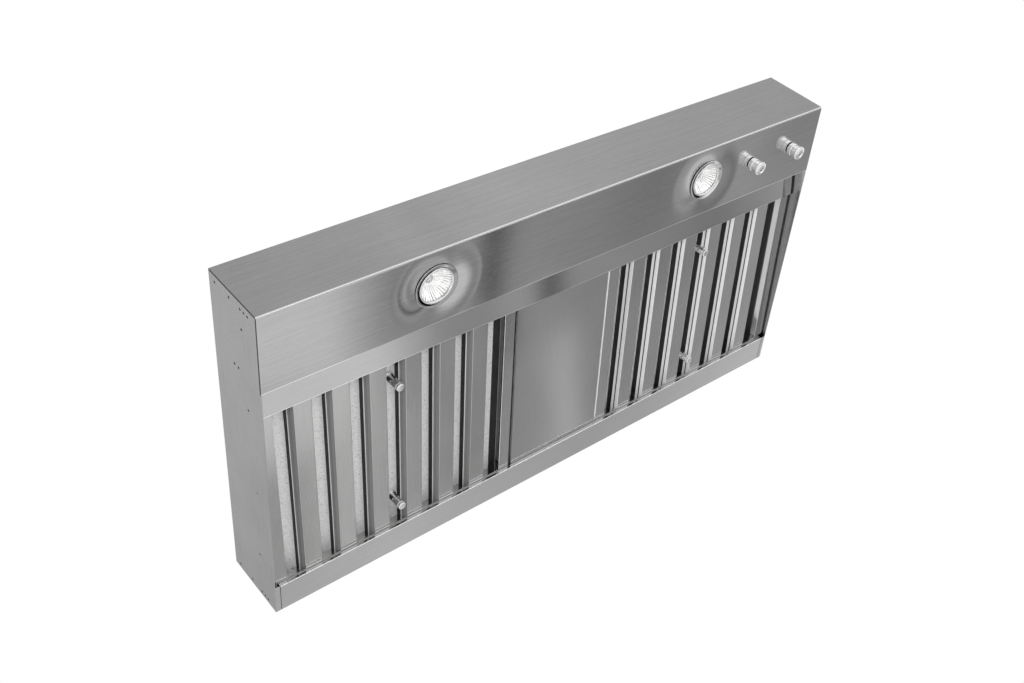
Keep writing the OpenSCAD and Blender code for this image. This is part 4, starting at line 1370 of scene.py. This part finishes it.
@dataclass
class Wiring:
    """What feeds the lamps and the blower, all inside the body."""

    transformer: Place = (110.0, 46.0, 30.0)
    core: Point = (66.0, 18.0)
    core_sheets: int = 12
    base: float = 1.2
    cover_z: float = 57.6
    terminals: Place = (46.0, 14.0, 18.0)
    ways: int = 5
    barrier: float = 1.5

    def build(self) -> None:
        """Makes the wiring's pieces."""
        dress({"junction_box": BOX_ZINC, "wiring_loom": SLEEVE, "motor_lead": SLEEVE})
        self.transformer_case()
        self.cover()
        self.terminal_block()

    def transformer_case(self) -> None:
        """Builds the transformer: laminated core, wound cover and a foot at each end."""
        x, y = middle("lamp_transformer")
        width, depth, height = self.transformer
        core_w, core_h = self.core
        base, sheet = self.base, core_h / self.core_sheets
        core = Form()
        for i in range(self.core_sheets):
            inset = 0.5 if i % 2 else 0.0
            place = at(x, y, base + 3.2 + sheet * (i + 0.5))
            core.block((core_w - inset, depth - 2 * inset, sheet), place, 0.12, 1)
        core.piece("lamp_transformer_core", LAMINATION, "hood", "transformer_case")
        shell, tall = Form(), height - 1.5
        shell.block((60.0, depth - 6, tall), at(x, y, base + 1.5 + tall / 2), 3.0, 4)
        shell.block((40.0, depth - 14, 1.0), at(x, y, base + height - 0.4), 0.4, 1)
        right = [(width / 2, 0.0), (width / 2, 2.0), (35.0, 2.0), (34.0, 3.4)]
        foot = [(-width / 2, 0.0), *right, *((-a, b) for a, b in reversed(right[1:]))]
        shell.prism(foot, depth, at(x, y + depth / 2, base) @ spun(90, "X"), 0.4)
        for end in (-1, 1):
            shell.block((14.0, 30.0, 20.0), at(x + end * 40.0, y, base + 12.0), 2.4, 3)
            screw = at(x + end * (width / 2 - 5), y, base + 2.0)
            Screw(ScrewHead.HEX, length=1.1).add_to(shell, screw)
        shell.piece("lamp_transformer_shell", ENAMEL, "hood", "transformer_case", ["lamp_transformer"])

    def cover(self) -> None:
        """Presses the junction box's cover with its raised field."""
        x, y = middle("junction_box_cover")
        form = Form().block((80.0, 60.0, 1.1), at(x, y, self.cover_z), 0.35)
        form.block((64.0, 44.0, 0.5), at(x, y, self.cover_z - 0.3), 0.2, 1)
        form.piece("junction_box_cover_pressed", BOX_ZINC, "hood", "galvanised", ["junction_box_cover"])

    def terminal_block(self) -> None:
        """Moulds the terminal block: five ways with barriers and clamp screws."""
        x, y = middle("terminal_block")
        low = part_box("terminal_block")[0].z / MM - UNDERSIDE
        width, depth, height = self.terminals
        first, step = x - width / 2 + 0.8, (width - 1.6) / self.ways
        body = Form().block((width, depth, height * 0.55), at(x, y, low + height * 0.275), 0.5)
        for i in range(self.ways + 1):
            body.block((self.barrier, depth, height), at(first + i * step, y, low + height / 2), 0.4)
        body.piece("terminal_block_moulded", NYLON, "hood", "terminal_plastic", ["terminal_block"])
        clamps = Form()
        for i in range(self.ways):
            for back in (-3.4, 3.4):
                spot = at(first + (i + 0.5) * step, y + back, low + height * 0.56)
                Screw(ScrewHead.PAN, 2.6, 1.4, 1.3, 3.0).add_to(clamps, spot)
        clamps.piece("terminal_block_clamps", SCREW_ZINC, "hood", "screw_zinc")


@dataclass
class Blower:
    """The blower in its box, with the damper on top."""

    box_w: float = 340.0
    box_d: float = 270.0
    box_y: float = 150.0
    foot_w: float = 14.0
    sheet: float = 1.2
    top: float = 105.0
    shaft_y: float = 240.0
    shaft_z: float = 201.0
    motor_r: float = 34.0
    motor_x: Point = (-99.0, -7.0)
    bolt_circle_r: float = 22.0

    def build(self) -> None:
        """Makes the blower's pieces."""
        dress({
            "blower_box": BOX_ZINC, "scroll_band": BOX_ZINC, "scroll_left_plate": BOX_ZINC,
            "scroll_right_plate": BOX_ZINC, "motor_bracket": SPRING_STEEL, "motor_shaft": SHAFT_STEEL,
            "wheel_centre_plate": WHEEL_ZINC, "wheel_blades": WHEEL_ZINC, "wheel_end_rings": WHEEL_ZINC,
            "damper_pin": SHAFT_STEEL, "front_damper_flap": BOX_ZINC, "rear_damper_flap": BOX_ZINC,
        })
        self.box_screws()
        self.motor()

    def box_screws(self) -> None:
        """Drives the hex head screws along the foot flange."""
        side = self.box_w / 2 + self.foot_w / 2
        rows = (self.box_y - self.foot_w / 2, self.box_y + self.box_d + self.foot_w / 2)
        spots = [(x, y) for x in (-side, 0.0, side) for y in rows]
        spots += [(x, self.box_y + self.box_d / 2) for x in (-side, side)]
        form = Form()
        for x, y in spots:
            Screw(ScrewHead.HEX).add_to(form, at(x, y, self.top + self.sheet))
        form.piece("blower_box_screws_hex", SCREW_ZINC, "hood", "screw_zinc", ["blower_box_screws"])

    def motor(self) -> None:
        """Builds the motor: end bells with a step, a banded shell and four through bolts."""
        (left, right), r = self.motor_x, self.motor_r
        profile = rounded([
            (0.0, left), (13.0, left), (15.0, left + 1.0), (26.0, left + 2.0), (28.0, left + 3.0),
            (r - 0.6, left + 7.0), (r, left + 9.0), (r, left + 24.0), (r - 1.2, left + 25.0),
            (r - 1.2, right - 25.0), (r, right - 24.0), (r, right - 9.0), (r - 0.6, right - 7.0),
            (28.0, right - 3.0), (15.0, right - 1.0), (13.0, right), (4.1, right), (4.1, left + 12.0),
            (0.0, left + 12.0),
        ], 1.4)
        axis = at(0.0, self.shaft_y, self.shaft_z) @ spun(90, "Y")
        form = Form().turned(profile, axis, 72)
        form.piece("motor_shell", MOTOR_ENAMEL, "hood", "motor_paint", ["motor"])
        bolt = rounded([(0.0, 0.0), (2.6, 0.0), (2.6, 1.6), (0.0, 1.7)], 0.2, 2)
        bolts = Form()
        for turn in DIAGONALS:
            bolts.turned(bolt, axis @ spun(turn, "Z") @ moved(self.bolt_circle_r, 0, right - 2.6), 6)
        bolts.piece("motor_through_bolts", SCREW_ZINC, "hood", "screw_zinc")


@dataclass
class DuctCollar:
    """The round collar that the duct slips over."""

    base: float = 280.0
    sheet: float = 1.2
    screw_circle_r: float = 108.0

    def build(self) -> None:
        """Dresses the collar and drives its screws."""
        dress({"duct_collar": BOX_ZINC})
        place = at(*middle("duct_collar"), self.base)
        form = Form()
        for turn in DIAGONALS:
            spoke = spun(turn, "Z") @ moved(self.screw_circle_r, 0, self.sheet)
            Screw(ScrewHead.HEX).add_to(form, place @ spoke)
        form.piece("collar_screws_hex", SCREW_ZINC, "hood", "screw_zinc", ["collar_screws"])


def flat(name: str, half: float) -> bpy.types.Object:
    """A square sheet in the scene, as far from its middle to each side as half says."""
    form = bmesh.new()
    bmesh.ops.create_grid(form, x_segments=1, y_segments=1, size=half)
    data = bpy.data.meshes.new(name)
    form.to_mesh(data)
    form.free()
    return linked(name, data)


@dataclass
class Card:
    """A plain soft panel beside the object, which only shows in reflections."""

    name: str
    centre: Place
    normal: Place
    size: Point
    rows: Sequence[tuple[float, Stops]]
    level: float = 1.0
    drift: float = 0.03

    def build(self) -> None:
        """Hangs the card, its X kept level and its face along the normal."""
        card = flat(self.name, 0.5)
        ahead = Vector(self.normal).normalized()
        across = (Vector((1, 0, 0)) - ahead * ahead.x).normalized()
        turn = Matrix((across, ahead.cross(across), ahead)).transposed().to_quaternion()
        card.matrix_world = Matrix.LocRotScale(Vector(self.centre), turn, Vector((*self.size, 1.0)))
        card.data.materials.append(shaded(self.name, self.shader))
        card.visible_camera = card.visible_diffuse = card.visible_shadow = False
        card.visible_transmission = card.visible_volume_scatter = False

    def shader(self, graph: Graph) -> Term:
        """Glow whose level follows each row's stops along X, and blends from row to row along Y."""
        where = graph.where()
        along = graph.split(where, "X")
        across = along + 0.5 + (graph.noise(where, 5.0, 1.0) - 0.5) * self.drift
        last, stops = self.rows[0]
        tone = graph.ramp(across, stops)
        for row, stops in self.rows[1:]:
            share = graph.node(
                "ShaderNodeMapRange", {"interpolation_type": "SMOOTHSTEP"},
                {"Value": along.sibling("Y"), "From Min": last, "From Max": row},
            )
            tone = graph.mix(share, tone, graph.ramp(across, stops))
            last = row
        return graph.node("ShaderNodeEmission", {}, {"Color": tone, "Strength": self.level})


PANEL_ROW: Stops = (
    (0.0, 0.80), (0.256, 0.84), (0.305, 0.36), (0.340, 0.36), (0.372, 0.50), (0.383, 0.40),
    (0.391, 0.07), (0.404, 0.07), (0.413, 0.42), (0.43, 0.40), (0.51, 0.34), (0.575, 0.26),
    (0.672, 0.48), (0.728, 0.36), (1.0, 0.36),
)
FILTER_ROW: Stops = (
    (0.0, 0.40), (0.214, 0.43), (0.247, 0.76), (0.282, 0.52), (0.308, 0.47), (0.378, 0.33),
    (0.447, 0.43), (0.462, 0.70), (0.470, 0.66), (0.492, 0.33), (0.544, 0.37), (0.611, 0.40),
    (0.7, 0.45), (1.0, 0.6),
)
LIP_ROW: Stops = (
    (0.0, 0.55), (0.214, 0.62), (0.319, 0.70), (0.458, 0.58), (0.53, 0.54), (0.611, 0.58),
    (0.75, 0.76), (1.0, 0.8),
)
BACK_ROW: Stops = (
    (0.0, 0.88), (0.29, 1.0), (0.312, 0.90), (0.333, 0.46), (0.38, 0.33), (0.443, 0.35),
    (0.565, 0.23), (0.72, 0.21), (1.0, 0.19),
)
FRONT_ROW: Stops = (
    (0.0, 0.5), (0.29, 0.5), (0.38, 0.55), (0.47, 0.63), (0.58, 0.54), (0.8, 0.51), (1.0, 0.5),
)


@dataclass
class Studio:
    """Camera, lamps, world and floor."""

    floor_z: float = -1.75
    floor_half: float = 30.0
    aim: Place = (0, 0, -0.05)
    plain_light: float = 0.55
    cards: ClassVar[Sequence[Card]] = (
        Card(
            "under_card", (1.2, 1.4, -1.3), (0, 0, 1), (3.6, 2.2),
            ((-0.17, PANEL_ROW), (-0.09, FILTER_ROW), (0.06, FILTER_ROW), (0.17, LIP_ROW)),
        ),
        Card("back_card", (2.5, 3.5, -0.9), (0, -1, 0), (6.0, 1.9), ((0.0, BACK_ROW),), 1.35),
        Card("front_card", (1.4, -1.6, 1.5), (-0.25, 0.6, -0.75), (5.0, 2.8), ((0.0, FRONT_ROW),)),
        Card(
            "end_card", (-1.6, 1.7, 1.5), (0, 0, -1), (2.6, 2.8),
            ((-0.3, ((0.0, 0.46), (1.0, 0.46))), (0.2, ((0.0, 0.58), (1.0, 0.58)))),
        ),
        Card(
            "low_card", (1.25, -1.8, -1.25), (-0.1, 0.8, 0.6), (2.9, 0.9),
            ((0.0, ((0.0, 1.0), (1.0, 1.0))),), 1.6,
        ),
    )

    def build(self) -> None:
        """Sets up the studio."""
        self.camera()
        self.world()
        self.floor()
        self.lamps()
        for card in self.cards:
            card.build()

    def camera(self) -> None:
        """Puts the camera at the photograph's place."""
        data = bpy.data.cameras.new("camera")
        data.sensor_width = 36.0
        data.lens = 43.76
        data.shift_x = -0.1114
        data.shift_y = -0.0446
        data.clip_end = 100.0
        camera = linked("camera", data)
        turn = Quaternion((0.320315, 0.876209, 0.058730, -0.355256))
        camera.matrix_world = Matrix.LocRotScale(Vector((-0.93388, -1.10696, -1.06573)), turn, None)
        bpy.context.scene.camera = camera

    def world(self) -> None:
        """White behind the object and in reflections, plain light on it."""
        scene = bpy.context.scene
        scene.view_settings.view_transform = "Standard"
        scene.world = bpy.data.worlds.new("studio")
        scene.world.use_nodes = True
        graph = Graph(scene.world.node_tree)
        level = self.plain_light + graph.direct() * (1.0 - self.plain_light)
        sockets = {"Color": (1.0, 1.0, 1.0, 1.0), "Strength": level}
        graph.finish(graph.node("ShaderNodeBackground", {}, sockets), "ShaderNodeOutputWorld")

    def floor(self) -> None:
        """Lays a pale floor well under the object."""
        floor = flat("floor", self.floor_half)
        floor.location.z = self.floor_z
        floor.data.materials.append(shaded("floor_pale", self.pale))

    def pale(self, graph: Graph) -> Term:
        """Matt near the object, which turns into plain white far from it."""
        where = graph.place()
        far = graph.ramp(graph.vector("LENGTH", where) / 9.0, ((0.25, 0.0), (0.8, 1.0)))
        sweep = graph.noise(where, 1.5, 3.0)
        matt = graph.principled(Base_Color=graph.shade((0.86, 0.86, 0.86), sweep, 0.02), Roughness=0.7)
        glow = graph.node("ShaderNodeEmission", {}, {"Color": (1, 1, 1, 1), "Strength": 1.0})
        return graph.node("ShaderNodeMixShader", {}, {0: far * graph.direct(), 1: matt, 2: glow})

    def lamps(self) -> None:
        """Hangs three large soft lamps."""
        for name, spot, size, power in (
            ("key", (-2.2, -2.4, 2.2), 2.4, 85.0),
            ("fill", (2.8, -1.2, 1.4), 2.2, 35.0),
            ("under", (-1.2, -1.6, -1.5), 1.6, 40.0),
        ):
            data = bpy.data.lights.new(name, "AREA")
            data.shape = "DISK"
            data.size = size
            data.energy = power
            lamp = linked(name, data)
            lamp.visible_glossy = False
            turn = (Vector(self.aim) - Vector(spot)).to_track_quat("-Z", "Y")
            lamp.matrix_world = Matrix.LocRotScale(Vector(spot), turn, None)


def main() -> None:
    """Builds the sub-assemblies in order."""
    logging.basicConfig(level=logging.INFO, format="%(message)s")
    Studio().build()
    Casing().build()
    for side in Side:
        BaffleFilter(side).build()
        Lamp(side).build()
    Control("fan_speed", "fan_speed_control", (42.0, 40.0, 24.0)).build()
    Control("light_dimmer", "light_dimmer_control", (32.0, 36.0, 20.0)).build()
    LockNuts().build()
    Wiring().build()
    Blower().build()
    DuctCollar().build()


if __name__ == "__main__":
    main()
